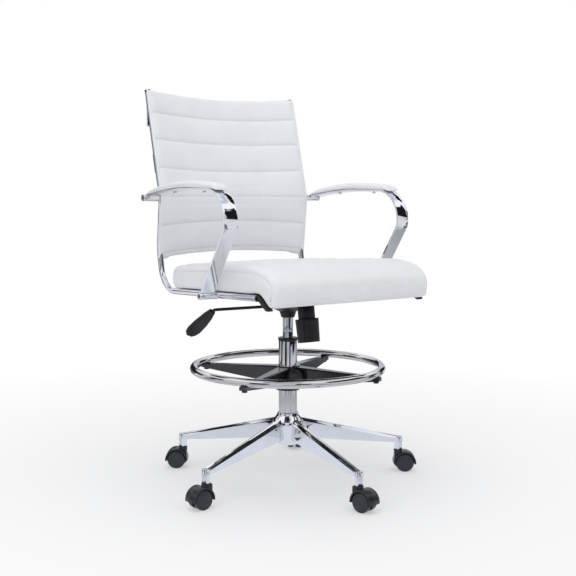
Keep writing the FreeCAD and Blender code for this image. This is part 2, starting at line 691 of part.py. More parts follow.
def along_tube(front, thickness, half_width):
    # the same board following the tube line: an upper part and a lower part
    # in line with it, meeting in the mitre plane at the kink
    upper = in_back_frame(bowed(front, thickness, half_width, -60.0, 301.0))
    lower_line = V(0, BACK_KINK[0] - BACK_BOTTOM[0], BACK_KINK[1] - BACK_BOTTOM[1])
    lower_angle = math.degrees(math.atan2(lower_line.y, lower_line.z))
    lower = bowed(front, thickness, half_width, -lower_line.Length, 60.0)
    lower.rotate(V(0, 0, 0), X_AXIS, -lower_angle)
    lower.translate(V(0, BACK_KINK[0], BACK_KINK[1]))
    mitre = Part.makeBox(600.0, 400.0, 400.0, V(-300.0, -200.0, 0.0))
    mitre.rotate(V(0, 0, 0), X_AXIS, -(back_angle + lower_angle) / 2)
    mitre.translate(V(0, BACK_KINK[0], BACK_KINK[1]))
    return upper.common(mitre).fuse(lower.cut(mitre))


# Just enough room round each tube for the leather edge to lie against it.
tube_room = swept_round(tube_path, TUBE_RADIUS + 0.02)
pad_body = along_tube(BACK_FRONT, PAD_THICKNESS, PANEL_HALF_WIDTH)
pad_edge = along_tube(BACK_FRONT, 5.0, 249.0)
boss_room = [Part.makeCylinder(BOSS_RADIUS + 0.3, 60.0, V(TUBE_X, REAR_BOSS[0], REAR_BOSS[1]), X_AXIS)]
back_pad = pad_body.fuse(pad_edge).removeSplitter()
back_pad = back_pad.cut(tube_room).cut(mirrored(tube_room))
back_pad = back_pad.cut(boss_room[0]).cut(mirrored(boss_room[0]))
back_pad = back_pad.cut(top_plug).cut(mirrored(top_plug))
# The foot of the panel is cut away in a shallow arch between tabs at the tubes.
ARCH_HALF_WIDTH = 208.0
arch_top = Part.Arc(V(-ARCH_HALF_WIDTH, 200, 602), V(0, 200, 609), V(ARCH_HALF_WIDTH, 200, 602)).toShape()
arch_foot = Part.makePolygon(
    [V(-ARCH_HALF_WIDTH, 200, 602), V(-ARCH_HALF_WIDTH, 200, 580), V(ARCH_HALF_WIDTH, 200, 580),
     V(ARCH_HALF_WIDTH, 200, 602)]
)
arch = Part.Face(Part.Wire([arch_top] + arch_foot.Edges)).extrude(V(0, 150, 0))
back_pad = max(back_pad.cut(arch).Solids, key=lambda solid: solid.Volume)
back_shell = along_tube(BACK_FRONT + PAD_THICKNESS + 0.05, SHELL_THICKNESS, 226.0)
back_shell = back_shell.cut(tube_room).cut(mirrored(tube_room)).cut(arch)

# Two bowed chrome strips bridge the tubes behind the panel. Their ends turn
# forward and are welded to the backs of the tubes. The lower one leans with
# the tubes; the upper one stands upright.
ahead_of_tubes = in_back_frame(box(-300.0, 300.0, -200.0, 0.0, -100.0, 400.0))
BRIDGE_HALF_GAUGE = 1.25
BRIDGE_TURN = 236.0


def bridge(weld_y, reach, low, high):
    corner_left = V(-BRIDGE_TURN, reach, low)
    corner_right = V(BRIDGE_TURN, reach, low)
    bow = Part.Arc(corner_left, V(0, reach + bow_depth(BRIDGE_TURN), low), corner_right).toShape()
    plan = Part.Wire(
        [Part.makeLine(V(-TUBE_X, weld_y, low), corner_left), bow,
         Part.makeLine(corner_right, V(TUBE_X, weld_y, low))]
    )
    thick = plan.makeOffset2D(BRIDGE_HALF_GAUGE, 2, False, True)
    thin = plan.makeOffset2D(-BRIDGE_HALF_GAUGE, 2, False, True)
    ends = [
        Part.makeLine(thick.OrderedVertexes[0].Point, thin.OrderedVertexes[0].Point),
        Part.makeLine(thick.OrderedVertexes[-1].Point, thin.OrderedVertexes[-1].Point),
    ]
    outline = Part.Wire(Part.sortEdges(thick.Edges + thin.Edges + ends)[0])
    return Part.Face(outline).extrude(V(0, 0, high - low))


def welded(shape):
    for room in tube_solids + [ahead_of_tubes]:
        shape = shape.cut(room)
    return max(shape.Solids, key=lambda solid: solid.Volume)


UPPER_REACH = 341.0
mid_bridge = welded(in_back_frame(bridge(2.0, 27.0, 78.0, 130.0)))
upper_bridge = welded(bridge(300.0, UPPER_REACH, 970.0, 1046.0))
for x in (-120.0, 120.0):
    bow_here = bow_depth(BRIDGE_TURN) - bow_depth(x)
    mid_screw = screw(V(x, 27.0 + bow_here + 4.25, 104.0), V(0, -1, 0), 26.0)
    upper_screw = screw(V(x, UPPER_REACH + bow_here + 4.25, 1008.0), V(0, -1, 0), 24.0)
    for back_screw in (in_back_frame(mid_screw), upper_screw):
        frame_screws.append(back_screw)
        mid_bridge = mid_bridge.cut(back_screw)
        upper_bridge = upper_bridge.cut(back_screw)
        back_shell = back_shell.cut(back_screw)
        back_pad = back_pad.cut(back_screw)
save("back_pad", back_pad)
save("back_shell", back_shell)
save("back_bridges", mid_bridge, upper_bridge)
save("frame_screws", *frame_screws)

# Leather flap hung behind the upper bridge, its head turned forward over the
# strip to the top edge of the panel.
FLAP_HALF_WIDTH = 230.0
flap = bowed(UPPER_REACH + 2.0, 13.0, FLAP_HALF_WIDTH, 967.0, 1068.0)
flap_head = bowed(UPPER_REACH - 14.0, 29.0, FLAP_HALF_WIDTH, 1056.0, 1068.0)
flap = flap.fuse(flap_head).removeSplitter()
for room in [back_shell, back_pad, upper_bridge, tube_room, mirrored(tube_room)] + frame_screws:
    flap = flap.cut(room)
save("rear_flap", max(flap.Solids, key=lambda solid: solid.Volume))
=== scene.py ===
import json
import math

import bmesh
import bpy
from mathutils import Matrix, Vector, noise


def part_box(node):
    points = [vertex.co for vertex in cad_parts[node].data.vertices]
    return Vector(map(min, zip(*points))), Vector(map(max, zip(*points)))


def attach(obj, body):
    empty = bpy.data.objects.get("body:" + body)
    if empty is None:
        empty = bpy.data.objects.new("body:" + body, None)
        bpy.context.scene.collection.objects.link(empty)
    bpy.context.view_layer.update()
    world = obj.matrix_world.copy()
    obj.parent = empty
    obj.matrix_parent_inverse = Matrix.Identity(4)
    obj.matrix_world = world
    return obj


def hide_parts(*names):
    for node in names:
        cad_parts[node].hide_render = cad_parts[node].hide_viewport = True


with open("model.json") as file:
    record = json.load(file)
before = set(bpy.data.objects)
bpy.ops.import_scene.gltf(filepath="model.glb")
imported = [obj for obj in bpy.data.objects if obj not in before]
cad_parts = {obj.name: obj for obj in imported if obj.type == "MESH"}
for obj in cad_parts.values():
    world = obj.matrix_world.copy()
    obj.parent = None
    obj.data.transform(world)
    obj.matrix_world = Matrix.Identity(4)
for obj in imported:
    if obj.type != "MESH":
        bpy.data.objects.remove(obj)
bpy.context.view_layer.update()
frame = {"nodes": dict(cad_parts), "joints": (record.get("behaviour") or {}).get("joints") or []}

chair = frame["nodes"]

# ---- Star base ----------------------------------------------------------
# Hub and five tapered legs, pressed and welded from steel and plated bright.
# The plating carries a faint polishing haze and a cool tint from the nickel
# under the chromium; each leg ends in a round socket for its caster.
PLATING = (0.80, 0.805, 0.83)
PLATING_HAZE = 0.055


def node_group(name, inputs, outputs):
    group = bpy.data.node_groups.new(name, "ShaderNodeTree")
    for label, kind, value in inputs:
        socket = group.interface.new_socket(label, in_out="INPUT", socket_type=kind)
        socket.default_value = value
    for label, kind in outputs:
        group.interface.new_socket(label, in_out="OUTPUT", socket_type=kind)
    return group


def add(tree, kind, **settings):
    node = tree.nodes.new(kind)
    for key, value in settings.items():
        if key in node.inputs:
            node.inputs[key].default_value = value
        else:
            setattr(node, key, value)
    return node


def pattern(tree, coordinates, scale, detail=3.0, roughness=0.5):
    # cloudy noise over the piece, at so many features a metre
    spread = add(tree, "ShaderNodeTexNoise", Detail=detail, Roughness=roughness)
    spread.inputs["Scale"].default_value = scale
    tree.links.new(coordinates, spread.inputs["Vector"])
    return spread.outputs["Fac"]


def span(tree, value, low, high, out_low=0.0, out_high=1.0):
    stretch = add(tree, "ShaderNodeMapRange")
    stretch.inputs["From Min"].default_value = low
    stretch.inputs["From Max"].default_value = high
    stretch.inputs["To Min"].default_value = out_low
    stretch.inputs["To Max"].default_value = out_high
    tree.links.new(value, stretch.inputs["Value"])
    return stretch.outputs["Result"]


def blend_colours(tree, amount, first, second):
    mixer = add(tree, "ShaderNodeMix", data_type="RGBA")
    tree.links.new(amount, mixer.inputs["Factor"])
    for colour, socket in ((first, mixer.inputs[6]), (second, mixer.inputs[7])):
        if isinstance(colour, tuple):
            socket.default_value = (*colour, 1.0)
        else:
            tree.links.new(colour, socket)
    return mixer.outputs[2]


polishing = node_group(
    "polishing haze",
    [
        ("Tint", "NodeSocketColor", (0.8, 0.8, 0.82, 1.0)),
        ("Haze", "NodeSocketFloat", 0.06),
        ("Depth", "NodeSocketFloat", 0.02),
    ],
    [
        ("Colour", "NodeSocketColor"),
        ("Roughness", "NodeSocketFloat"),
        ("Normal", "NodeSocketVector"),
    ],
)
inside = add(polishing, "NodeGroupInput")
outside = add(polishing, "NodeGroupOutput")
place = add(polishing, "ShaderNodeTexCoord").outputs["Object"]
smears = pattern(polishing, place, 22.0, 4.0, 0.6)
specks = pattern(polishing, place, 260.0, 2.0, 0.5)
darker = add(polishing, "ShaderNodeVectorMath", operation="SCALE", Scale=0.93)
polishing.links.new(inside.outputs["Tint"], darker.inputs[0])
patches = span(polishing, smears, 0.35, 0.75)
polishing.links.new(
    blend_colours(polishing, patches, inside.outputs["Tint"], darker.outputs[0]),
    outside.inputs["Colour"],
)
haze = add(polishing, "ShaderNodeMath", operation="MULTIPLY")
polishing.links.new(span(polishing, smears, 0.3, 0.8, 0.55, 1.75), haze.inputs[0])
polishing.links.new(inside.outputs["Haze"], haze.inputs[1])
polishing.links.new(haze.outputs[0], outside.inputs["Roughness"])
ripple = add(polishing, "ShaderNodeBump", Distance=0.0006)
polishing.links.new(inside.outputs["Depth"], ripple.inputs["Strength"])
polishing.links.new(specks, ripple.inputs["Height"])
polishing.links.new(ripple.outputs["Normal"], outside.inputs["Normal"])


def metal(name, tint, haze_value, depth=0.02):
    material = bpy.data.materials.new(name)
    material.use_nodes = True
    tree = material.node_tree
    shader = tree.nodes["Principled BSDF"]
    shader.inputs["Metallic"].default_value = 1.0
    surface = add(tree, "ShaderNodeGroup", node_tree=polishing)
    surface.inputs["Tint"].default_value = (*tint, 1.0)
    surface.inputs["Haze"].default_value = haze_value
    surface.inputs["Depth"].default_value = depth
    tree.links.new(surface.outputs["Colour"], shader.inputs["Base Color"])
    tree.links.new(surface.outputs["Roughness"], shader.inputs["Roughness"])
    tree.links.new(surface.outputs["Normal"], shader.inputs["Normal"])
    return material


def dress(material, *pieces, edge=0.0, crease=30.0):
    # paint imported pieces; edge is the width of the small rounding on their arrises
    for name in pieces:
        piece = chair[name]
        piece.data.materials.clear()
        piece.data.materials.append(material)
        if edge:
            joined = piece.modifiers.new("joined faces", "WELD")
            joined.merge_threshold = 0.00002
            rounding = piece.modifiers.new("broken edges", "BEVEL")
            rounding.width = edge
            rounding.segments = 2
            rounding.limit_method = "ANGLE"
            rounding.angle_limit = math.radians(crease)
            rounding.harden_normals = True
            rounding.use_clamp_overlap = True


chrome = metal("bright chrome plate", PLATING, PLATING_HAZE)
dress(chrome, "base_hub", "base_legs", edge=0.0012)

# Nylon sleeves in the leg sockets: natural, unpolished mouldings that are
# pressed in and only show as a thin pale ring under each leg.
NATURAL_NYLON = (0.80, 0.79, 0.74)

moulding = node_group(
    "moulded skin",
    [
        ("Colour", "NodeSocketColor", (0.03, 0.03, 0.03, 1.0)),
        ("Worn Colour", "NodeSocketColor", (0.08, 0.08, 0.08, 1.0)),
        ("Gloss", "NodeSocketFloat", 0.4),
        ("Stipple Scale", "NodeSocketFloat", 1400.0),
        ("Stipple", "NodeSocketFloat", 0.25),
    ],
    [
        ("Colour", "NodeSocketColor"),
        ("Roughness", "NodeSocketFloat"),
        ("Normal", "NodeSocketVector"),
    ],
)
inside = add(moulding, "NodeGroupInput")
outside = add(moulding, "NodeGroupOutput")
place = add(moulding, "ShaderNodeTexCoord").outputs["Object"]
dust = pattern(moulding, place, 35.0, 5.0, 0.65)
moulding.links.new(
    blend_colours(
        moulding,
        span(moulding, dust, 0.42, 0.82, 0.0, 0.55),
        inside.outputs["Colour"],
        inside.outputs["Worn Colour"],
    ),
    outside.inputs["Colour"],
)
gloss = add(moulding, "ShaderNodeMath", operation="MULTIPLY")
moulding.links.new(span(moulding, dust, 0.3, 0.7, 0.85, 1.2), gloss.inputs[0])
moulding.links.new(inside.outputs["Gloss"], gloss.inputs[1])
moulding.links.new(gloss.outputs[0], outside.inputs["Roughness"])
stipple = add(moulding, "ShaderNodeTexNoise", Detail=1.0)
moulding.links.new(place, stipple.inputs["Vector"])
moulding.links.new(inside.outputs["Stipple Scale"], stipple.inputs["Scale"])
sand = add(moulding, "ShaderNodeBump", Distance=0.0002)
moulding.links.new(inside.outputs["Stipple"], sand.inputs["Strength"])
moulding.links.new(stipple.outputs["Fac"], sand.inputs["Height"])
moulding.links.new(sand.outputs["Normal"], outside.inputs["Normal"])


def moulded(name, colour, worn, roughness, stipple_scale=1400.0, stipple_depth=0.25, coat=0.0):
    material = bpy.data.materials.new(name)
    material.use_nodes = True
    tree = material.node_tree
    shader = tree.nodes["Principled BSDF"]
    shader.inputs["Specular IOR Level"].default_value = 0.36
    shader.inputs["Coat Weight"].default_value = coat
    shader.inputs["Coat Roughness"].default_value = 0.12
    surface = add(tree, "ShaderNodeGroup", node_tree=moulding)
    surface.inputs["Colour"].default_value = (*colour, 1.0)
    surface.inputs["Worn Colour"].default_value = (*worn, 1.0)
    surface.inputs["Gloss"].default_value = roughness
    surface.inputs["Stipple Scale"].default_value = stipple_scale
    surface.inputs["Stipple"].default_value = stipple_depth
    tree.links.new(surface.outputs["Colour"], shader.inputs["Base Color"])
    tree.links.new(surface.outputs["Roughness"], shader.inputs["Roughness"])
    tree.links.new(surface.outputs["Normal"], shader.inputs["Normal"])
    return material


natural_nylon = moulded("natural nylon", NATURAL_NYLON, (0.66, 0.63, 0.55), 0.5)
dress(natural_nylon, "caster_sleeves", "guide_bush")

# ---- Casters ------------------------------------------------------------
# Five twin-wheel casters. The hoods are glass-filled nylon with a satin skin;
# each wheel is turned here as one moulding with a crowned tread, a shallow
# ring groove and a slightly domed face, and runs on the ground steel axle.
WHEEL_RADIUS = 0.025
WHEEL_INNER = 0.0046
WHEEL_OUTER = 0.0206
WHEEL_STEPS = 72
SLATE = (0.030, 0.032, 0.040)

wheel_profile = [
    (0.0031, WHEEL_INNER),
    (0.0180, WHEEL_INNER),
    (0.0200, WHEEL_INNER + 0.0006),
    (0.0236, WHEEL_INNER + 0.0006),
    (0.0246, WHEEL_INNER + 0.0014),
    (WHEEL_RADIUS, WHEEL_INNER + 0.0040),
    (WHEEL_RADIUS, WHEEL_OUTER - 0.0050),
    (0.0247, WHEEL_OUTER - 0.0030),
    (0.0238, WHEEL_OUTER - 0.0014),
    (0.0224, WHEEL_OUTER - 0.0006),
    (0.0212, WHEEL_OUTER - 0.0004),
    (0.0206, WHEEL_OUTER - 0.0011),
    (0.0200, WHEEL_OUTER - 0.0011),
    (0.0195, WHEEL_OUTER - 0.0005),
    (0.0150, WHEEL_OUTER - 0.0001),
    (0.0080, WHEEL_OUTER + 0.0002),
    (0.0, WHEEL_OUTER + 0.0003),
]


def turned_mesh(name, profile, steps, centre, axis):
    # profile of (radius, distance along the axis) turned about it
    axis = Vector(axis).normalized()
    side = axis.orthogonal().normalized()
    other = axis.cross(side)
    mesh = bpy.data.meshes.new(name)
    shape = bmesh.new()
    rings = []
    for radius, along in profile:
        if radius == 0.0:
            rings.append([shape.verts.new(centre + axis * along)])
            continue
        ring = []
        for step in range(steps):
            angle = 2.0 * math.pi * step / steps
            spoke = side * math.cos(angle) + other * math.sin(angle)
            ring.append(shape.verts.new(centre + axis * along + spoke * radius))
        rings.append(ring)
    for first, second in zip(rings, rings[1:]):
        for step in range(steps):
            after = (step + 1) % steps
            if len(second) == 1:
                shape.faces.new((first[step], first[after], second[0]))
            elif len(first) == 1:
                shape.faces.new((first[0], second[after], second[step]))
            else:
                shape.faces.new((first[step], first[after], second[after], second[step]))
    for face in shape.faces:
        face.smooth = True
    bmesh.ops.recalc_face_normals(shape, faces=shape.faces)
    shape.to_mesh(mesh)
    shape.free()
    return mesh


def show(name, mesh, material, body):
    piece = bpy.data.objects.new(name, mesh)
    bpy.context.scene.collection.objects.link(piece)
    mesh.materials.append(material)
    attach(piece, body)
    return piece


wheel_nylon = moulded("slate nylon", SLATE, (0.052, 0.054, 0.063), 0.42, 1500.0, 0.30)
hood_nylon = moulded("black nylon", (0.018, 0.019, 0.022), (0.05, 0.05, 0.055), 0.28, 1700.0, 0.12)
ground_steel = metal("ground steel", (0.58, 0.58, 0.62), 0.17, 0.05)
for number in range(1, 6):
    dress(hood_nylon, f"caster_{number}_hood", edge=0.0007)
    dress(ground_steel, f"caster_{number}_pins")
    for side in ("left", "right"):
        node = f"caster_{number}_wheel_{side}"
        roll = next(j for j in frame["joints"] if j["name"] == f"caster_{number}_roll_{side}")
        axis = Vector(roll["axis"])
        if side == "right":
            axis = -axis
        centre = Vector(roll["pos_m"])
        wheel = turned_mesh(f"caster_{number}_{side}_wheel", wheel_profile, WHEEL_STEPS, centre, axis)
        wheel_piece = show(f"caster_{number}_{side}_tyre", wheel, wheel_nylon, f"caster_{number}_{side}")
        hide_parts(node)

# ---- Column -------------------------------------------------------------
# Chrome outer tube with a black collar round its mouth; the ground and hard
# chromed gas cylinder slides in it on a nylon guide. The rod and the bearing
# it hangs on are inside the foot, and the red valve button is at the top.
hard_chrome = metal("hard chromed cylinder", (0.52, 0.52, 0.56), 0.13, 0.03)
collar_black = moulded("collar black", (0.016, 0.016, 0.018), (0.05, 0.05, 0.05), 0.30, 1500.0, 0.1)
button_red = moulded("valve red", (0.42, 0.04, 0.03), (0.30, 0.04, 0.03), 0.30)
nickel = metal("satin nickel plate", (0.66, 0.652, 0.645), 0.085, 0.03)
dress(nickel, "outer_tube", edge=0.0006)
dress(hard_chrome, "gas_cylinder", edge=0.0003)
dress(ground_steel, "piston_rod", "thrust_bearing")
dress(collar_black, "top_collar", edge=0.0014)
dress(button_red, "valve_button")

# ---- Footring -----------------------------------------------------------
# Bent plated tube on a four-armed gloss black spider, held by plastic clips in
# the notched ends of its arms. The domed knob turns a stud in the spider's
# boss against the column.
enamel = moulded(
    "gloss black enamel", (0.010, 0.010, 0.012), (0.03, 0.03, 0.034), 0.16, 420.0, 0.10, coat=0.5
)
knob_grey = moulded("dark grey knob", (0.022, 0.023, 0.026), (0.055, 0.055, 0.06), 0.42, 1500.0, 0.35)
dress(nickel, "footring_tube")
dress(enamel, "footring_spider", edge=0.0012)
dress(collar_black, "footring_clips", edge=0.0010)
dress(knob_grey, "footring_knob", edge=0.0010)
dress(ground_steel, "footring_stud")

# ---- Tilt mechanism -----------------------------------------------------
# Pressed steel housing and top plate in satin black powder coat, the cup of
# the tension spring in front of it with its fluted adjusting knob, and the
# height lever: a bent steel rod with a moulded paddle pushed on its end.
powder = moulded("satin black powder coat", (0.008, 0.008, 0.009), (0.030, 0.030, 0.032), 0.36, 900.0, 0.40)
knob_black = moulded("knob black", (0.008, 0.008, 0.009), (0.026, 0.026, 0.029), 0.34, 1500.0, 0.35)
spring_steel = metal("oiled spring steel", (0.20, 0.20, 0.21), 0.3, 0.05)
dress(powder, "mech_housing", "mech_top_plate", "tension_cup", "seat_rails", edge=0.0010)
dress(knob_black, "tension_knob", edge=0.0012)
dress(powder, "lever_rod")
dress(ground_steel, "tilt_axle", "tension_bolt", edge=0.0004)
dress(spring_steel, "tilt_spring")
dress(knob_black, "lever_paddle", edge=0.0032)

# ---- Side tubes ---------------------------------------------------------
# One bent chrome tube each side carries the seat and the back. Black plugs
# close its ends, and socket screws go through chrome bosses into it.
screw_zinc = metal("zinc plated screws", (0.34, 0.34, 0.35), 0.24, 0.05)
plug_black = moulded("plug black", (0.012, 0.012, 0.013), (0.04, 0.04, 0.04), 0.30, 1500.0, 0.1)
dress(chrome, "side_tube_left", "side_tube_right")
dress(plug_black, "tube_plugs", edge=0.0008)
dress(screw_zinc, "arm_bolts", edge=0.0005)
dress(chrome, "frame_screws")

# ---- Armrests -----------------------------------------------------------
# Flat chrome strip bent to an open loop and welded to its bosses. A padded
# sleeve of white coated leather is sewn along its top and tapers to the rear.
dress(chrome, "arm_left", "arm_right", edge=0.0007)

PAD_HALF_WIDTH = 0.0205
WHITE_LEATHER = (0.83, 0.845, 0.862)
# painted shade: the grey the leather is darkened towards in its seams and creases, where shade would fall
PAINTED_CREASE_SHADE = (0.60, 0.62, 0.65)

leather_grain_and_painted_shade = node_group(
    "leather grain and painted crease shade",
    [
        ("Colour", "NodeSocketColor", (0.83, 0.845, 0.862, 1.0)),
        ("Painted Crease Shade", "NodeSocketColor", (0.6, 0.62, 0.65, 1.0)),
        ("Crease", "NodeSocketFloat", 0.0),
        ("Grain", "NodeSocketFloat", 0.25),
        ("Wrinkle", "NodeSocketFloat", 0.15),
    ],
    [
        ("Colour", "NodeSocketColor"),
        ("Roughness", "NodeSocketFloat"),
        ("Normal", "NodeSocketVector"),
    ],
)
inside = add(leather_grain_and_painted_shade, "NodeGroupInput")
outside = add(leather_grain_and_painted_shade, "NodeGroupOutput")
place = add(leather_grain_and_painted_shade, "ShaderNodeTexCoord").outputs["Object"]
mottle = pattern(leather_grain_and_painted_shade, place, 14.0, 4.0, 0.6)
paler = add(leather_grain_and_painted_shade, "ShaderNodeVectorMath", operation="SCALE", Scale=0.955)
leather_grain_and_painted_shade.links.new(inside.outputs["Colour"], paler.inputs[0])
hide = blend_colours(
    leather_grain_and_painted_shade,
    span(leather_grain_and_painted_shade, mottle, 0.35, 0.7),
    inside.outputs["Colour"],
    paler.outputs[0],
)
# painted shade: the Crease input mixes the colour towards the crease grey, darkening seams and creases
leather_grain_and_painted_shade.links.new(
    blend_colours(leather_grain_and_painted_shade, inside.outputs["Crease"], hide, inside.outputs["Painted Crease Shade"]),
    outside.inputs["Colour"],
)
leather_grain_and_painted_shade.links.new(
    span(leather_grain_and_painted_shade, mottle, 0.3, 0.7, 0.40, 0.54), outside.inputs["Roughness"]
)
pebbles = add(leather_grain_and_painted_shade, "ShaderNodeTexVoronoi", feature="SMOOTH_F1", Scale=850.0)
pebbles.inputs["Smoothness"].default_value = 0.6
leather_grain_and_painted_shade.links.new(place, pebbles.inputs["Vector"])
pebbled = add(leather_grain_and_painted_shade, "ShaderNodeBump", Distance=0.00028)
leather_grain_and_painted_shade.links.new(inside.outputs["Grain"], pebbled.inputs["Strength"])
leather_grain_and_painted_shade.links.new(pebbles.outputs["Distance"], pebbled.inputs["Height"])
folds = pattern(leather_grain_and_painted_shade, place, 60.0, 4.0, 0.55)
folded = add(leather_grain_and_painted_shade, "ShaderNodeBump", Distance=0.0012)
leather_grain_and_painted_shade.links.new(inside.outputs["Wrinkle"], folded.inputs["Strength"])
leather_grain_and_painted_shade.links.new(folds, folded.inputs["Height"])
leather_grain_and_painted_shade.links.new(pebbled.outputs["Normal"], folded.inputs["Normal"])
leather_grain_and_painted_shade.links.new(folded.outputs["Normal"], outside.inputs["Normal"])


def leather(name, grain=0.25, wrinkle=0.15):
    material = bpy.data.materials.new(name)
    material.use_nodes = True
    tree = material.node_tree
    shader = tree.nodes["Principled BSDF"]
    shader.inputs["Sheen Weight"].default_value = 0.08
    shader.inputs["Sheen Roughness"].default_value = 0.5
    surface = add(tree, "ShaderNodeGroup", node_tree=leather_grain_and_painted_shade)
    surface.inputs["Colour"].default_value = (*WHITE_LEATHER, 1.0)
    surface.inputs["Painted Crease Shade"].default_value = (*PAINTED_CREASE_SHADE, 1.0)
    surface.inputs["Grain"].default_value = grain
    surface.inputs["Wrinkle"].default_value = wrinkle
    # the crease attribute carries the painted seam shade into the colour
    crease = add(tree, "ShaderNodeAttribute", attribute_name="crease")
    tree.links.new(crease.outputs["Fac"], surface.inputs["Crease"])
    tree.links.new(surface.outputs["Colour"], shader.inputs["Base Color"])
    tree.links.new(surface.outputs["Roughness"], shader.inputs["Roughness"])
    tree.links.new(surface.outputs["Normal"], shader.inputs["Normal"])
    return material


def sheet_of_rings(name, rings, closed_ends=True):
    # rings of points joined in order; each ring is a closed loop
    mesh = bpy.data.meshes.new(name)
    shape = bmesh.new()
    laid = [[shape.verts.new(point) for point in ring] for ring in rings]
    count = len(rings[0])
    for first, second in zip(laid, laid[1:]):
        for step in range(count):
            after = (step + 1) % count
            shape.faces.new((first[step], first[after], second[after], second[step]))
    if closed_ends:
        ends = [shape.faces.new(ring) for ring in (laid[0], laid[-1])]
        bmesh.ops.triangulate(shape, faces=ends)
    for face in shape.faces:
        face.smooth = True
    bmesh.ops.recalc_face_normals(shape, faces=shape.faces)
    shape.to_mesh(mesh)
    shape.free()
    # crease: share of painted seam shade, zero unless set later
    mesh.attributes.new("crease", "FLOAT", "POINT")
    return mesh


def smooth_hide(piece):
    finer = piece.modifiers.new("smooth hide", "SUBSURF")
    finer.levels = finer.render_levels = 1


STITCH_PITCH = 0.0050
STITCH_LENGTH = 0.0036
SHORTEST_STITCH = 0.0006
THREAD_RADIUS = 0.00045


def thread_line(name, points):
    # a row of stitches: short stretches of thread laid end to end with gaps
    curve = bpy.data.curves.new(name, "CURVE")
    curve.dimensions = "3D"
    curve.bevel_depth = THREAD_RADIUS
    curve.bevel_resolution = 1
    walked = 0.0
    for first, second in zip(points, points[1:]):
        length = (second - first).length
        reach = 0.0
        while reach < length:
            phase = (walked + reach) % STITCH_PITCH
            if phase < STITCH_LENGTH:
                end = min(length, reach + STITCH_LENGTH - phase)
                if end - reach > SHORTEST_STITCH:
                    stitch = curve.splines.new("POLY")
                    stitch.points.add(1)
                    stitch.points[0].co = (*first.lerp(second, reach / length), 1.0)
                    stitch.points[1].co = (*first.lerp(second, end / length), 1.0)
                reach = end + 1e-7
            else:
                reach += max(STITCH_PITCH - phase, 1e-6)
        walked += length
    sewn = bpy.data.objects.new(name, curve)
    bpy.context.scene.collection.objects.link(sewn)
    bpy.context.view_layer.update()
    mesh = bpy.data.meshes.new_from_object(sewn)
    bpy.data.objects.remove(sewn)
    return show(name, mesh, thread_white, "seat")


thread_white = moulded("white thread", (0.78, 0.79, 0.80), (0.66, 0.67, 0.68), 0.6, 2400.0, 0.4)
pad_leather = leather("arm pad leather", 0.22, 0.10)

# top and underside of the pad, front to rear
PAD_TOP = [(-0.1085, 0.7885), (-0.105, 0.7955), (-0.098, 0.8005), (-0.085, 0.8045), (-0.041, 0.8085),
           (0.007, 0.8105), (0.058, 0.8115), (0.110, 0.8085), (0.167, 0.8025), (0.207, 0.7955),
           (0.238, 0.7865), (0.2475, 0.7800)]
PAD_BASE = [(-0.1085, 0.7865), (-0.105, 0.7875), (-0.098, 0.7885), (-0.085, 0.7890), (-0.041, 0.7905),
            (0.007, 0.7920), (0.058, 0.7928), (0.110, 0.7905), (0.167, 0.7855), (0.207, 0.7805),
            (0.238, 0.7765), (0.2475, 0.7750)]
PAD_STATIONS = 64
PAD_RING_STEPS = 36
PAD_SEAM_LEVEL = 0.30       # share of the pad's height at which it is sewn
pad_low, pad_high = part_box("arm_pad_left")
pad_middle_x = (pad_low.x + pad_high.x) / 2


def smooth_run(points, count):
    # even samples on a smooth curve through the points
    samples = []
    for index in range(count):
        place_on = index * (len(points) - 1) / (count - 1)
        start = min(int(place_on), len(points) - 2)
        share = place_on - start
        before = points[max(start - 1, 0)]
        after = points[min(start + 2, len(points) - 1)]
        first, second = points[start], points[start + 1]
        samples.append(tuple(
            0.5 * (
                2 * b
                + (c - a) * share
                + (2 * a - 5 * b + 4 * c - d) * share ** 2
                + (3 * b - a - 3 * c + d) * share ** 3
            )
            for a, b, c, d in zip(before, first, second, after)
        ))
    return samples


def pad_width(index):
    # half width, narrowing towards the rear
    return PAD_HALF_WIDTH * (1.0 - 0.16 * (index / (PAD_STATIONS - 1)) ** 3)


pad_tops = smooth_run(PAD_TOP, PAD_STATIONS)
pad_bases = smooth_run(PAD_BASE, PAD_STATIONS)
for side, mirror in (("left", 1.0), ("right", -1.0)):
    rings = []
    for index, ((y, top), (_, base)) in enumerate(zip(pad_tops, pad_bases)):
        from_front = index / (PAD_STATIONS - 1)
        width = pad_width(index)
        width *= min(1.0, 0.62 + 0.38 * math.sin(min(1.0, from_front / 0.07) * math.pi / 2))
        ring = []
        for step in range(PAD_RING_STEPS):
            angle = 2 * math.pi * step / PAD_RING_STEPS
            across = math.copysign(abs(math.cos(angle)) ** 0.62, math.cos(angle))
            upward = math.sin(angle)
            if upward >= 0:
                height = base + (top - base) * (PAD_SEAM_LEVEL + 0.70 * upward ** 0.72)
            else:
                height = base + (top - base) * PAD_SEAM_LEVEL * (1.0 - abs(upward) ** 0.5)
            pucker = 0.0004 * noise.noise(Vector((y * 60, across * 2, upward * 2 + 7 * mirror)))
            ring.append(Vector((mirror * (pad_middle_x + across * width), y, height + pucker)))
        rings.append(ring)
    pad = show(
        f"arm_pad_cover_{side}",
        sheet_of_rings(f"arm_pad_cover_{side}", rings),
        pad_leather,
        "seat",
    )
    smooth_hide(pad)
    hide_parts(f"arm_pad_{side}")
    for edge_side in (-1, 1):
        seam_points = [
            Vector((
                mirror * (pad_middle_x + edge_side * (pad_width(index) + 0.0002)),
                y,
                base + (top - base) * PAD_SEAM_LEVEL,
            ))
            for index, ((y, top), (_, base)) in enumerate(zip(pad_tops, pad_bases))
            if 4 < index < PAD_STATIONS - 4
        ]
        edge_name = "outer" if edge_side == 1 else "inner"
        seam = thread_line(f"arm_pad_stitches_{side}_{edge_name}", seam_points)

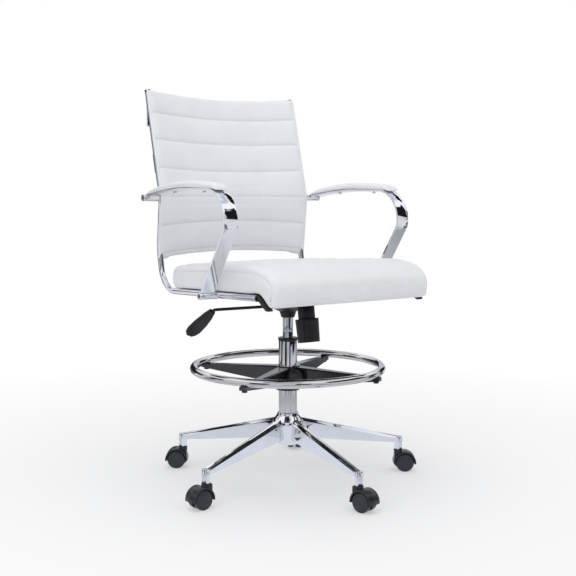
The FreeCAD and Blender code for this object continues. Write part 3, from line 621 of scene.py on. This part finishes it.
# ---- Seat cushion -------------------------------------------------------
# Moulded foam in a sewn cover of white coated leather. Four seams cross the
# top and pull it into soft channels that end in tucks at a long seam on each
# side; a gusset closes the sides and the front rolls over as a waterfall.
SEAT_HALF_WIDTH = 0.2455
SEAT_TOP = [(-0.2905, 0.5450), (-0.2880, 0.5590), (-0.2810, 0.5715), (-0.2660, 0.5845), (-0.2440, 0.5950),
            (-0.2060, 0.6030), (-0.1600, 0.6048), (-0.1080, 0.6020), (-0.0490, 0.5985), (0.0530, 0.5940),
            (0.1400, 0.5895), (0.1810, 0.5850), (0.1990, 0.5730), (0.2035, 0.5500)]
SEAT_BASE = [(-0.2905, 0.5450), (-0.2890, 0.5290), (-0.2830, 0.5155), (-0.2710, 0.5098), (-0.2580, 0.5120),
             (-0.2200, 0.5376), (-0.1650, 0.5358), (-0.1000, 0.5337), (-0.0400, 0.5317), (0.0200, 0.5298),
             (0.0800, 0.5279), (0.1300, 0.5262), (0.1870, 0.5246), (0.2035, 0.5500)]
TUFT_SEAMS = (-0.130, -0.044, 0.034, 0.113)
TUFT_HALF_WIDTH = 0.218
SHOULDER = 0.017            # rounding of the cover over the gusset seam
RING_STEPS = 132


def outward_of(loop):
    # outward directions in the side plane round a closed loop of (y, z)
    directions = []
    for index in range(len(loop)):
        (y0, z0), (y1, z1) = loop[index - 1], loop[(index + 1) % len(loop)]
        heading = Vector((y1 - y0, z1 - z0)).normalized()
        directions.append((-heading.y, heading.x))
    return directions


def seam_depth(distance, width):
    # 1 in the crease of a seam, falling away smoothly on each side
    return math.exp(-abs(distance) / width)


def tuft(x, y):
    # height that quilting adds to the seat's top, in metres
    if not -0.150 < y < 0.215:
        return 0.0
    reach = max(0.0, min(1.0, (TUFT_HALF_WIDTH - abs(x)) / 0.014))
    reach = reach * reach * (3 - 2 * reach)
    fade = max(0.0, min(1.0, (y + 0.150) / 0.014))
    nearest = min(abs(y - seam) for seam in TUFT_SEAMS)
    crease = seam_depth(nearest, 0.0075)
    tuck = math.exp(-((abs(x) - TUFT_HALF_WIDTH + 0.004) / 0.009) ** 2) * math.exp(-(nearest / 0.006) ** 2)
    long_seam = math.exp(-((abs(x) - TUFT_HALF_WIDTH) / 0.0035) ** 2)
    pillow = 0.0022 * (1 - math.exp(-nearest / 0.016))
    return reach * (pillow - 0.0062 * crease * fade) - 0.0042 * tuck * fade - 0.0012 * long_seam * fade


# painted shade along the seat's seams: how far the cover is darkened at the cross seams and along the long
# side seams
def seat_painted_crease_shade(point):
    if point.z < 0.575 or not -0.140 < point.y < 0.19:
        return 0.0
    nearest = min(abs(point.y - seam) for seam in TUFT_SEAMS)
    shade = math.exp(-(nearest / 0.0022) ** 2) if abs(point.x) < TUFT_HALF_WIDTH else 0.0
    along_side = math.exp(-((abs(point.x) - TUFT_HALF_WIDTH) / 0.0018) ** 2)
    return min(1.0, 0.75 * shade + 0.45 * along_side)


top_run = smooth_run(SEAT_TOP, RING_STEPS // 2 + 1)
base_run = smooth_run(SEAT_BASE, RING_STEPS // 2 + 1)
seat_loop = top_run + base_run[-2:0:-1]
seat_outward = outward_of(seat_loop)


def seat_ring(x, inset):
    ring = []
    for index, ((y, z), (out_y, out_z)) in enumerate(zip(seat_loop, seat_outward)):
        on_top = max(0.0, out_z)
        crown = 0.0030 * on_top * (1 - (x / SEAT_HALF_WIDTH) ** 2)
        held = 0.35 if out_z < -0.75 else 1.0
        rumple = 0.0010 * noise.noise(Vector((x * 16, y * 16, z * 16)))
        rumple += 0.0004 * noise.noise(Vector((x * 55, y * 40, z * 40 + 3)))
        lift = crown + on_top * tuft(x, y) + rumple * held - inset * held
        ring.append(Vector((x, y + out_y * lift, z + out_z * lift)))
    return ring


seat_mesh = bpy.data.meshes.new("seat_cover")
cover = bmesh.new()
stations = []
flat_half = SEAT_HALF_WIDTH - SHOULDER
count_across = 84
for step in range(count_across + 1):
    stations.append((-flat_half + 2 * flat_half * step / count_across, 0.0))
for step in range(1, 9):
    turn = step / 8 * math.pi / 2
    stations.append((flat_half + SHOULDER * math.sin(turn), SHOULDER * (1 - math.cos(turn))))
    stations.insert(0, (-flat_half - SHOULDER * math.sin(turn), SHOULDER * (1 - math.cos(turn))))
seat_rings = [[cover.verts.new(point) for point in seat_ring(x, inset)] for x, inset in stations]
for first, second in zip(seat_rings, seat_rings[1:]):
    for index in range(RING_STEPS):
        after = (index + 1) % RING_STEPS
        cover.faces.new((first[index], second[index], second[after], first[after]))
gusset_rows = 12
half = RING_STEPS // 2
for ring, outward in ((seat_rings[0], -1.0), (seat_rings[-1], 1.0)):
    columns = []
    for index in range(1, half):
        top, base = ring[index], ring[RING_STEPS - index]
        column = [top]
        for row in range(1, gusset_rows):
            share = row / gusset_rows
            spot = top.co.lerp(base.co, share)
            bulge = 0.0048 * (4 * share * (1 - share)) ** 0.6
            bulge *= min(1.0, 0.25 + index / 14) * min(1.0, 0.6 + (half - index) / 10)
            bulge += 0.0008 * noise.noise(Vector((spot.y * 22, spot.z * 22, outward)))
            spot.x += outward * bulge
            column.append(cover.verts.new(spot))
        column.append(base)
        columns.append(column)
    for first, second in zip(columns, columns[1:]):
        for row in range(gusset_rows):
            cover.faces.new((first[row], first[row + 1], second[row + 1], second[row]))
    for tip, column in ((ring[0], columns[0]), (ring[half], columns[-1])):
        for row in range(gusset_rows):
            cover.faces.new((tip, column[row], column[row + 1]))
for face in cover.faces:
    face.smooth = True
bmesh.ops.recalc_face_normals(cover, faces=cover.faces)
cover.to_mesh(seat_mesh)
cover.free()
# painted shade in the seams, stored per point
shade = seat_mesh.attributes.new("crease", "FLOAT", "POINT")
shade.data.foreach_set("value", [seat_painted_crease_shade(vertex.co) for vertex in seat_mesh.vertices])
seat_leather = leather("seat leather", 0.26, 0.14)
seat_cover = show("seat_cover", seat_mesh, seat_leather, "seat")
smooth_hide(seat_cover)
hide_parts("seat_cushion")
for label, x_side in (("left", 1.0), ("right", -1.0)):
    seam_ring = seat_ring(x_side * (SEAT_HALF_WIDTH + 0.0004), SHOULDER - 0.0012)
    seam = thread_line(f"gusset_stitches_{label}", seam_ring[:half + 1])

# Moulded black pan under the cushion. Its edge is rolled at the front corners,
# where it follows the underside of the nose.
pan_black = moulded("pan black", (0.012, 0.012, 0.013), (0.045, 0.045, 0.045), 0.48, 700.0, 0.5)
dress(pan_black, "seat_pan", edge=0.0008)
NOSE_EDGE = [(-0.2100, 0.5335), (-0.2180, 0.5310), (-0.2270, 0.5245), (-0.2360, 0.5175), (-0.2450, 0.5115),
             (-0.2540, 0.5065), (-0.2620, 0.5045)]
NOSE_STATIONS = 24
NOSE_RING_STEPS = 16
NOSE_EDGE_X = 0.2400
for side, mirror in (("left", 1.0), ("right", -1.0)):
    rolled = []
    for index, (y, z) in enumerate(smooth_run(NOSE_EDGE, NOSE_STATIONS)):
        girth = 0.0052 * min(1.0, 0.55 + index / 8, 0.45 + (NOSE_STATIONS - 1 - index) / 8)
        ring = []
        for step in range(NOSE_RING_STEPS):
            angle = 2 * math.pi * step / NOSE_RING_STEPS
            across = math.copysign(abs(math.cos(angle)) ** 0.6, math.cos(angle))
            upward = math.copysign(abs(math.sin(angle)) ** 0.6, math.sin(angle))
            edge_x = mirror * (NOSE_EDGE_X + 0.0075 * across)
            ring.append(Vector((edge_x, y - 0.55 * girth * upward, z + girth * upward)))
        rolled.append(ring)
    lip = show(f"pan_edge_{side}", sheet_of_rings(f"pan_edge_{side}", rolled), pan_black, "seat")

# ---- Back ---------------------------------------------------------------
# Leather cover sewn in ribs over thin foam and a bowed board. Its edges lie
# over the fronts of the side tubes, the foot ends in a double-stitched hem,
# and the middle is set back so that the panel cradles the sitter.
BOW_RADIUS = 0.912
PANEL_HALF_WIDTH = 0.232
COVER_HALF_WIDTH = 0.2495
KINK = (0.256, 0.768)
BACK_RUN = [(0.2746, 0.597), KINK, (0.3309, 1.0677)]
RIB_SEAMS = (0.0205, 0.0976, 0.1751, 0.2565, 0.3369, 0.4143, 0.4880)
RIB_SWELL = 0.0044
TOP_DIP = 0.005             # top edge hangs lower in the middle
SEWN_HALF_WIDTH = 0.2455    # where the ribs end and the edge turns back
REAR_HALF_WIDTH = 0.2255    # flat of the rear face
MIDDLE_DEPTH = 0.0085       # middle of the cover's thickness, behind its front
EDGE_ROUNDING = 0.0075      # at the head and the foot
ACROSS_STEPS = 96
REAR_STEPS = 48
back_length = sum(math.hypot(b[0] - a[0], b[1] - a[1]) for a, b in zip(BACK_RUN, BACK_RUN[1:]))


def bow(x):
    return BOW_RADIUS - math.sqrt(BOW_RADIUS ** 2 - x ** 2)


def along(points, distance):
    # point and heading at a distance along a run of (y, z) points
    for (y0, z0), (y1, z1) in zip(points, points[1:]):
        length = math.hypot(y1 - y0, z1 - z0)
        if distance <= length or (y1, z1) == points[-1]:
            share = distance / length
            return (
                Vector((0.0, y0 + (y1 - y0) * share, z0 + (z1 - z0) * share)),
                Vector((0.0, (y1 - y0) / length, (z1 - z0) / length)),
            )
        distance -= length


def back_frame(distance):
    # point on the tube line, and the rearward and upward directions there, with
    # the kink rounded
    spot, heading = along(BACK_RUN, distance)
    before = along(BACK_RUN, max(0.0, distance - 0.028))[1]
    after = along(BACK_RUN, distance + 0.028)[1]
    heading = (before + after).normalized()
    return spot, Vector((0, heading.z, -heading.y)), heading


def rib(distance, x):
    # how far the ribs swell forward of the seams
    if distance <= RIB_SEAMS[0]:
        return 0.0012
    for low, high in zip(RIB_SEAMS, RIB_SEAMS[1:]):
        if low < distance <= high:
            share = (distance - low) / (high - low)
            swell = (4 * share * (1 - share)) ** 0.55
            sag = 1.0 + 0.18 * (0.5 - share)
            edge = max(0.0, min(1.0, (SEWN_HALF_WIDTH - abs(x)) / 0.013))
            return RIB_SWELL * swell * sag * edge * edge * (3 - 2 * edge)
    return 0.0


def rise(distance, x):
    # how far the cross lines of the panel lie above a straight line: arched at
    # the foot, where the hem also steps up between the tabs, and dipped at the top
    arched = 1 - (x / COVER_HALF_WIDTH) ** 2
    foot = 0.0095 * arched * (1 - min(1.0, distance / 0.25) ** 1.5)
    step = max(0.0, min(1.0, (0.2150 - abs(x)) / 0.0080))
    foot += 0.0045 * step * step * (3 - 2 * step) * max(0.0, 1 - distance / 0.018)
    return foot - TOP_DIP * arched * max(0.0, (distance - 0.36) / (back_length - 0.36))


def rib_pucker(distance, x):
    nearest = min(abs(distance - seam) for seam in RIB_SEAMS)
    gathers = noise.noise(Vector((x * 95, round(distance * 12) * 3.0, 1.0)))
    return 0.00055 * math.exp(-nearest / 0.010) * gathers


def rounded(end, radius):
    # share of the full thickness at a distance from an edge rounded to a radius
    return 1.0 if end > radius else math.sqrt(max(0.0, 1 - (1 - end / radius) ** 2))


def cover_front(x):
    return -0.0080 + bow(PANEL_HALF_WIDTH) - bow(x)


levels = []
for low, high in zip((0.0,) + RIB_SEAMS[:-1], RIB_SEAMS[:-1] + (back_length,)):
    rows = max(4, round((high - low) / 0.0045))
    levels += [low + (high - low) * row / rows for row in range(rows)]
levels.append(back_length)
back_rings = []
for level in levels:
    spot, rearward, heading = back_frame(level)
    end = min(level, back_length - level)
    fullness = rounded(end, EDGE_ROUNDING)
    ring = []
    plan = []
    for step in range(ACROSS_STEPS + 1):
        x = -COVER_HALF_WIDTH + 2 * COVER_HALF_WIDTH * step / ACROSS_STEPS
        edge = max(0.0, (abs(x) - SEWN_HALF_WIDTH) / 0.004)
        front = cover_front(x) - rib(level, x) - rib_pucker(level, x)
        front += 0.0012 * edge ** 2 + 0.0006 * noise.noise(Vector((x * 9, level * 12, 5)))
        plan.append((x, front))
    fold = [(0.2506, -0.0098), (0.2503, -0.0086), (0.2480, -0.0084), (0.2420, -0.0085), (0.2362, -0.0066),
            (0.2334, -0.0020), (0.2330, 0.0030), (0.2300, 0.0085)]
    plan += fold
    for step in range(REAR_STEPS + 1):
        x = REAR_HALF_WIDTH - 2 * REAR_HALF_WIDTH * step / REAR_STEPS
        nearest = min(abs(level - seam) for seam in RIB_SEAMS[:-1])
        rear = cover_front(x) + 0.0195 + 0.0012 * (1 - (x / REAR_HALF_WIDTH) ** 4)
        rear -= 0.0011 * seam_depth(nearest, 0.003)
        plan.append((x, rear))
    plan += [(-x, y) for x, y in reversed(fold)]
    for x, depth in plan:
        middle = cover_front(min(abs(x), SEWN_HALF_WIDTH)) + MIDDLE_DEPTH
        held = middle + (depth - middle) * fullness
        ring.append(Vector((x, 0, 0)) + spot + rearward * held + heading * rise(level, x))
    back_rings.append(ring)


# painted shade along the back's rib seams, fading out towards the sides
def rib_painted_crease_shade(rings):
    values = []
    for level, ring in zip(levels, rings):
        nearest = min(abs(level - seam) for seam in RIB_SEAMS[:-1])
        for point in ring:
            inward = max(0.0, min(1.0, (0.2440 - abs(point.x)) / 0.005))
            values.append(0.55 * math.exp(-(nearest / 0.0016) ** 2) * inward)
    return values


back_mesh = sheet_of_rings("back_cover", back_rings, closed_ends=False)
back_mesh.attributes["crease"].data.foreach_set("value", rib_painted_crease_shade(back_rings))
back_leather = leather("back leather", 0.24, 0.12)
back_cover = show("back_cover", back_mesh, back_leather, "seat")
smooth_hide(back_cover)
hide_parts("back_pad", "back_shell")
for label, level in (("upper", 0.0175), ("lower", 0.0065)):
    spot, rearward, heading = back_frame(level)
    hem_points = [
        Vector((x, 0, 0)) + spot + rearward * (cover_front(x) - 0.0016) + heading * rise(level, x)
        for x in [-0.238 + 0.476 * step / 60 for step in range(61)]
    ]
    hem = thread_line(f"hem_stitches_{label}", hem_points)

# Two bowed chrome strips behind the panel, welded to the backs of the tubes,
# and the leather flap that hangs over the upper one.
dress(chrome, "back_bridges", edge=0.0006)

FLAP_HALF_WIDTH = 0.2375
FLAP_REACH = 0.341
FLAP_MIDDLE = 0.0075        # middle of its thickness, behind the bridge
FLAP_EDGE_ROUNDING = 0.006
FLAP_STEPS = 90
flap_section = [(0.0022, 0.9700), (0.0050, 0.9674), (0.0095, 0.9672), (0.0134, 0.9700), (0.0152, 0.9800),
                (0.0158, 1.0000), (0.0156, 1.0250), (0.0146, 1.0450), (0.0118, 1.0590), (0.0060, 1.0662),
                (-0.0030, 1.0678), (-0.0105, 1.0662), (-0.0140, 1.0620), (-0.0138, 1.0575), (-0.0090, 1.0562),
                (-0.0010, 1.0560), (0.0020, 1.0520), (0.0021, 1.0200), (0.0020, 0.9900)]
flap_loop = smooth_run(flap_section + [flap_section[0]], 97)[:-1]
flap_rings = []
for step in range(FLAP_STEPS + 1):
    x = -FLAP_HALF_WIDTH + 2 * FLAP_HALF_WIDTH * step / FLAP_STEPS
    fullness = rounded(FLAP_HALF_WIDTH - abs(x), FLAP_EDGE_ROUNDING)
    reach = FLAP_REACH + bow(PANEL_HALF_WIDTH) - bow(x)
    dip = (TOP_DIP + 0.007) * (1 - (x / FLAP_HALF_WIDTH) ** 2)
    between_tubes = max(0.0, min(1.0, (0.2300 - abs(x)) / 0.005))
    ring = []
    for y, z in flap_loop:
        if y < 0:
            y *= between_tubes
        rumple = 0.0009 * noise.noise(Vector((x * 14, z * 20, y * 30)))
        hang = max(0.0, (z - 0.97) / 0.09)
        depth = reach + FLAP_MIDDLE + (y - FLAP_MIDDLE) * fullness + rumple
        ring.append(Vector((x, depth, z - dip * hang)))
    flap_rings.append(ring)
flap_mesh = sheet_of_rings("rear_flap_cover", flap_rings, closed_ends=False)
flap_cover = show("rear_flap_cover", flap_mesh, back_leather, "seat")
smooth_hide(flap_cover)
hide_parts("rear_flap")
hem_points = [
    Vector((x, FLAP_REACH + bow(PANEL_HALF_WIDTH) - bow(x) + 0.0157, 0.9790))
    for x in [-0.222 + 0.444 * step / 60 for step in range(61)]
]
hem = thread_line("flap_stitches", hem_points)

# ---- Room ---------------------------------------------------------------
# Pale floor and the light of a white studio. Broad soft lamps stand round the
# chair, hidden from reflections; glossy rays see a painted sky instead, with
# bright lamp bands and black boards between them that give the plating its dark lines.
floor_mesh = bpy.data.meshes.new("floor")
floor_shape = bmesh.new()
bmesh.ops.create_grid(floor_shape, x_segments=8, y_segments=8, size=30.0)
floor_shape.to_mesh(floor_mesh)
floor_shape.free()
floor = bpy.data.objects.new("floor", floor_mesh)
bpy.context.scene.collection.objects.link(floor)
floor_paint_and_painted_light = bpy.data.materials.new("floor paint and painted light")
floor_paint_and_painted_light.use_nodes = True
paint = floor_paint_and_painted_light.node_tree
paint.nodes.clear()
spot_on_floor = add(paint, "ShaderNodeTexCoord").outputs["Object"]
distance_out = add(paint, "ShaderNodeVectorMath", operation="LENGTH")
paint.links.new(spot_on_floor, distance_out.inputs[0])
matt = add(paint, "ShaderNodeBsdfDiffuse")
matt.inputs["Color"].default_value = (0.93, 0.932, 0.938, 1.0)
glow = add(paint, "ShaderNodeEmission")
glow.inputs["Color"].default_value = (1.0, 1.0, 1.0, 1.0)
floor_mesh.materials.append(floor_paint_and_painted_light)

world = bpy.data.worlds.new("white studio")
bpy.context.scene.world = world
world.use_nodes = True
sky = world.node_tree
sky.nodes.clear()
direction = add(sky, "ShaderNodeTexCoord").outputs["Generated"]
parts_of_direction = add(sky, "ShaderNodeSeparateXYZ")
sky.links.new(direction, parts_of_direction.inputs["Vector"])


def stripes(tree, value, stops):
    ramp = add(tree, "ShaderNodeValToRGB")
    ramp.color_ramp.interpolation = "LINEAR"
    while len(ramp.color_ramp.elements) > 1:
        ramp.color_ramp.elements.remove(ramp.color_ramp.elements[-1])
    for index, (position, colour) in enumerate(stops):
        stop = ramp.color_ramp.elements[0] if index == 0 else ramp.color_ramp.elements.new(position)
        stop.position = position
        stop.color = (*colour, 1.0)
    tree.links.new(value, ramp.inputs["Fac"])
    return ramp.outputs["Color"]


BOARD = (0.012, 0.012, 0.015)
GREY_BOARD = (0.16, 0.16, 0.18)
LAVENDER = (0.56, 0.58, 0.69)
WALL = (0.86, 0.87, 0.92)
PAINTED_LAMP_REFLECTION = (1.15, 1.16, 1.20)
height = span(sky, parts_of_direction.outputs["Z"], -1.0, 1.0)
by_height = stripes(sky, height, [
    (0.0, (0.70, 0.71, 0.78)), (0.49, WALL), (0.60, LAVENDER), (0.70, WALL), (0.78, PAINTED_LAMP_REFLECTION), (0.88, PAINTED_LAMP_REFLECTION),
    (0.94, LAVENDER), (1.0, PAINTED_LAMP_REFLECTION),
])
round_about = add(sky, "ShaderNodeTexGradient", gradient_type="RADIAL")
sky.links.new(direction, round_about.inputs["Vector"])


def boards(tree, bearing, spans):
    # 1 where a board stands, going round from -X; each is (middle, half width)
    stops = [(0.0, (0, 0, 0))]
    for middle, half_width in spans:
        stops += [
            (middle - half_width - 0.006, (0, 0, 0)),
            (middle - half_width, (1, 1, 1)),
            (middle + half_width, (1, 1, 1)),
            (middle + half_width + 0.006, (0, 0, 0)),
        ]
    return stripes(tree, bearing, stops + [(1.0, (0, 0, 0))])


def stood_up(tree, standing, level, low, high):
    # the boards kept between two heights
    window = stripes(tree, level, [
        (0.0, (0, 0, 0)), (low - 0.008, (0, 0, 0)), (low, (1, 1, 1)), (high, (1, 1, 1)),
        (high + 0.008, (0, 0, 0)), (1.0, (0, 0, 0)),
    ])
    both = add(tree, "ShaderNodeMix", data_type="RGBA", blend_type="MULTIPLY")
    both.inputs["Factor"].default_value = 1.0
    tree.links.new(standing, both.inputs[6])
    tree.links.new(window, both.inputs[7])
    return both.outputs[2]


LOW_BOARDS = ((0.06, 0.030), (0.20, 0.022), (0.47, 0.020), (0.56, 0.030), (0.75, 0.075), (0.90, 0.028))
TALL_BOARDS = ((0.36, 0.075),)
HIGH_BOARDS = ((0.13, 0.07), (0.580, 0.100), (0.82, 0.05))
low_ring = stood_up(sky, boards(sky, round_about.outputs["Fac"], LOW_BOARDS), height, 0.495, 0.66)
tall_ring = stood_up(sky, boards(sky, round_about.outputs["Fac"], TALL_BOARDS), height, 0.565, 0.80)
high_ring = stood_up(sky, boards(sky, round_about.outputs["Fac"], HIGH_BOARDS), height, 0.800, 0.885)
with_boards = by_height
for standing in (low_ring, tall_ring, high_ring):
    with_boards = blend_colours(sky, standing, with_boards, BOARD)
# painted reflection: this banded sky is seen only by glossy rays; other rays get plain soft light
painted_reflection_sky = add(sky, "ShaderNodeBackground", Strength=1.0)
sky.links.new(with_boards, painted_reflection_sky.inputs["Color"])
soft_light = add(sky, "ShaderNodeBackground", Strength=0.60)
soft_light.inputs["Color"].default_value = (0.97, 0.98, 1.0, 1.0)
white_wall = add(sky, "ShaderNodeBackground", Strength=1.0)
white_wall.inputs["Color"].default_value = (1.0, 1.0, 1.0, 1.0)
ray = add(sky, "ShaderNodeLightPath")
lit = add(sky, "ShaderNodeMixShader")
sky.links.new(ray.outputs["Is Glossy Ray"], lit.inputs[0])
sky.links.new(soft_light.outputs[0], lit.inputs[1])
sky.links.new(painted_reflection_sky.outputs[0], lit.inputs[2])
seen = add(sky, "ShaderNodeMixShader")
sky.links.new(ray.outputs["Is Camera Ray"], seen.inputs[0])
sky.links.new(lit.outputs[0], seen.inputs[1])
sky.links.new(white_wall.outputs[0], seen.inputs[2])
sky.links.new(seen.outputs[0], add(sky, "ShaderNodeOutputWorld").inputs["Surface"])

# Seen by the camera the floor is matt mixed with a painted white glow, at least
# 40 per cent even near the chair, which lightens the soft shadows it takes;
# further out the glow takes over and it fades into the white wall. Glossy rays
# see a painted reflection instead, glowing lavender close by and with painted
# board feet as upright stripes far out.
floor_bearing = add(paint, "ShaderNodeTexGradient", gradient_type="RADIAL")
paint.links.new(spot_on_floor, floor_bearing.inputs["Vector"])
painted_board_feet = blend_colours(
    paint,
    boards(paint, floor_bearing.outputs["Fac"], ((0.06, 0.020), (0.16, 0.022), (0.25, 0.022), (0.445, 0.020),
                                                 (0.52, 0.015), (0.72, 0.060), (0.88, 0.022))),
    WALL,
    GREY_BOARD,
)
# painted reflection: the floor glows with these colours only for glossy rays
painted_floor_reflection = add(paint, "ShaderNodeEmission")
painted_reflection_close_by = blend_colours(
    paint, span(paint, distance_out.outputs["Value"], 0.25, 0.75), (0.80, 0.84, 0.92), (0.56, 0.58, 0.62)
)
paint.links.new(
    blend_colours(paint, span(paint, distance_out.outputs["Value"], 0.8, 1.4), painted_reflection_close_by, painted_board_feet),
    painted_floor_reflection.inputs["Color"],
)
floor_ray = add(paint, "ShaderNodeLightPath")
# share of painted white glow for the camera: 0.40 near the chair, lightening its shadows, rising to full
# white far out
fade = add(paint, "ShaderNodeMath", operation="MULTIPLY")
paint.links.new(span(paint, distance_out.outputs["Value"], 0.45, 1.9, 0.40, 1.0), fade.inputs[0])
paint.links.new(floor_ray.outputs["Is Camera Ray"], fade.inputs[1])
faded = add(paint, "ShaderNodeMixShader")
paint.links.new(fade.outputs[0], faded.inputs[0])
paint.links.new(matt.outputs[0], faded.inputs[1])
paint.links.new(glow.outputs[0], faded.inputs[2])
floor_shader = add(paint, "ShaderNodeMixShader")
paint.links.new(floor_ray.outputs["Is Glossy Ray"], floor_shader.inputs[0])
paint.links.new(faded.outputs[0], floor_shader.inputs[1])
paint.links.new(painted_floor_reflection.outputs[0], floor_shader.inputs[2])
paint.links.new(floor_shader.outputs[0], add(paint, "ShaderNodeOutputMaterial").inputs["Surface"])


def soft_lamp(name, at, towards, size, power):
    lamp = bpy.data.lights.new(name, "AREA")
    lamp.shape = "RECTANGLE"
    lamp.size, lamp.size_y = size
    lamp.energy = power
    stand = bpy.data.objects.new(name, lamp)
    stand.location = at
    stand.rotation_euler = (Vector(towards) - Vector(at)).to_track_quat("-Z", "Y").to_euler()
    # hidden from reflections; glossy rays see the painted lamp bands in the sky instead
    stand.visible_glossy = False
    bpy.context.scene.collection.objects.link(stand)


soft_lamp("overhead lamp", (-0.4, -0.6, 3.4), (0, 0, 0.5), (3.0, 3.0), 38.0)
soft_lamp("left lamp", (-3.4, -1.4, 1.9), (0, 0, 0.6), (2.2, 2.6), 22.0)
soft_lamp("right lamp", (2.8, -2.6, 1.6), (0, 0, 0.5), (1.8, 2.4), 10.0)
soft_lamp("rear lamp", (1.2, 3.2, 2.2), (0, 0, 0.8), (2.4, 2.0), 9.0)

# Camera at the height of the arm pads, in front and to the sitter's right.
camera = bpy.data.cameras.new("camera")
camera.sensor_width = 36.0
camera.lens = 60.3
camera.dof.use_dof = False
tripod = bpy.data.objects.new("camera", camera)
tripod.location = (-1.521, -2.100, 0.763)
tripod.rotation_euler = (math.radians(90.0 - 5.23), 0.0, math.radians(-35.92))
bpy.context.scene.collection.objects.link(tripod)
bpy.context.scene.camera = tripod
bpy.context.scene.view_settings.view_transform = "Standard"
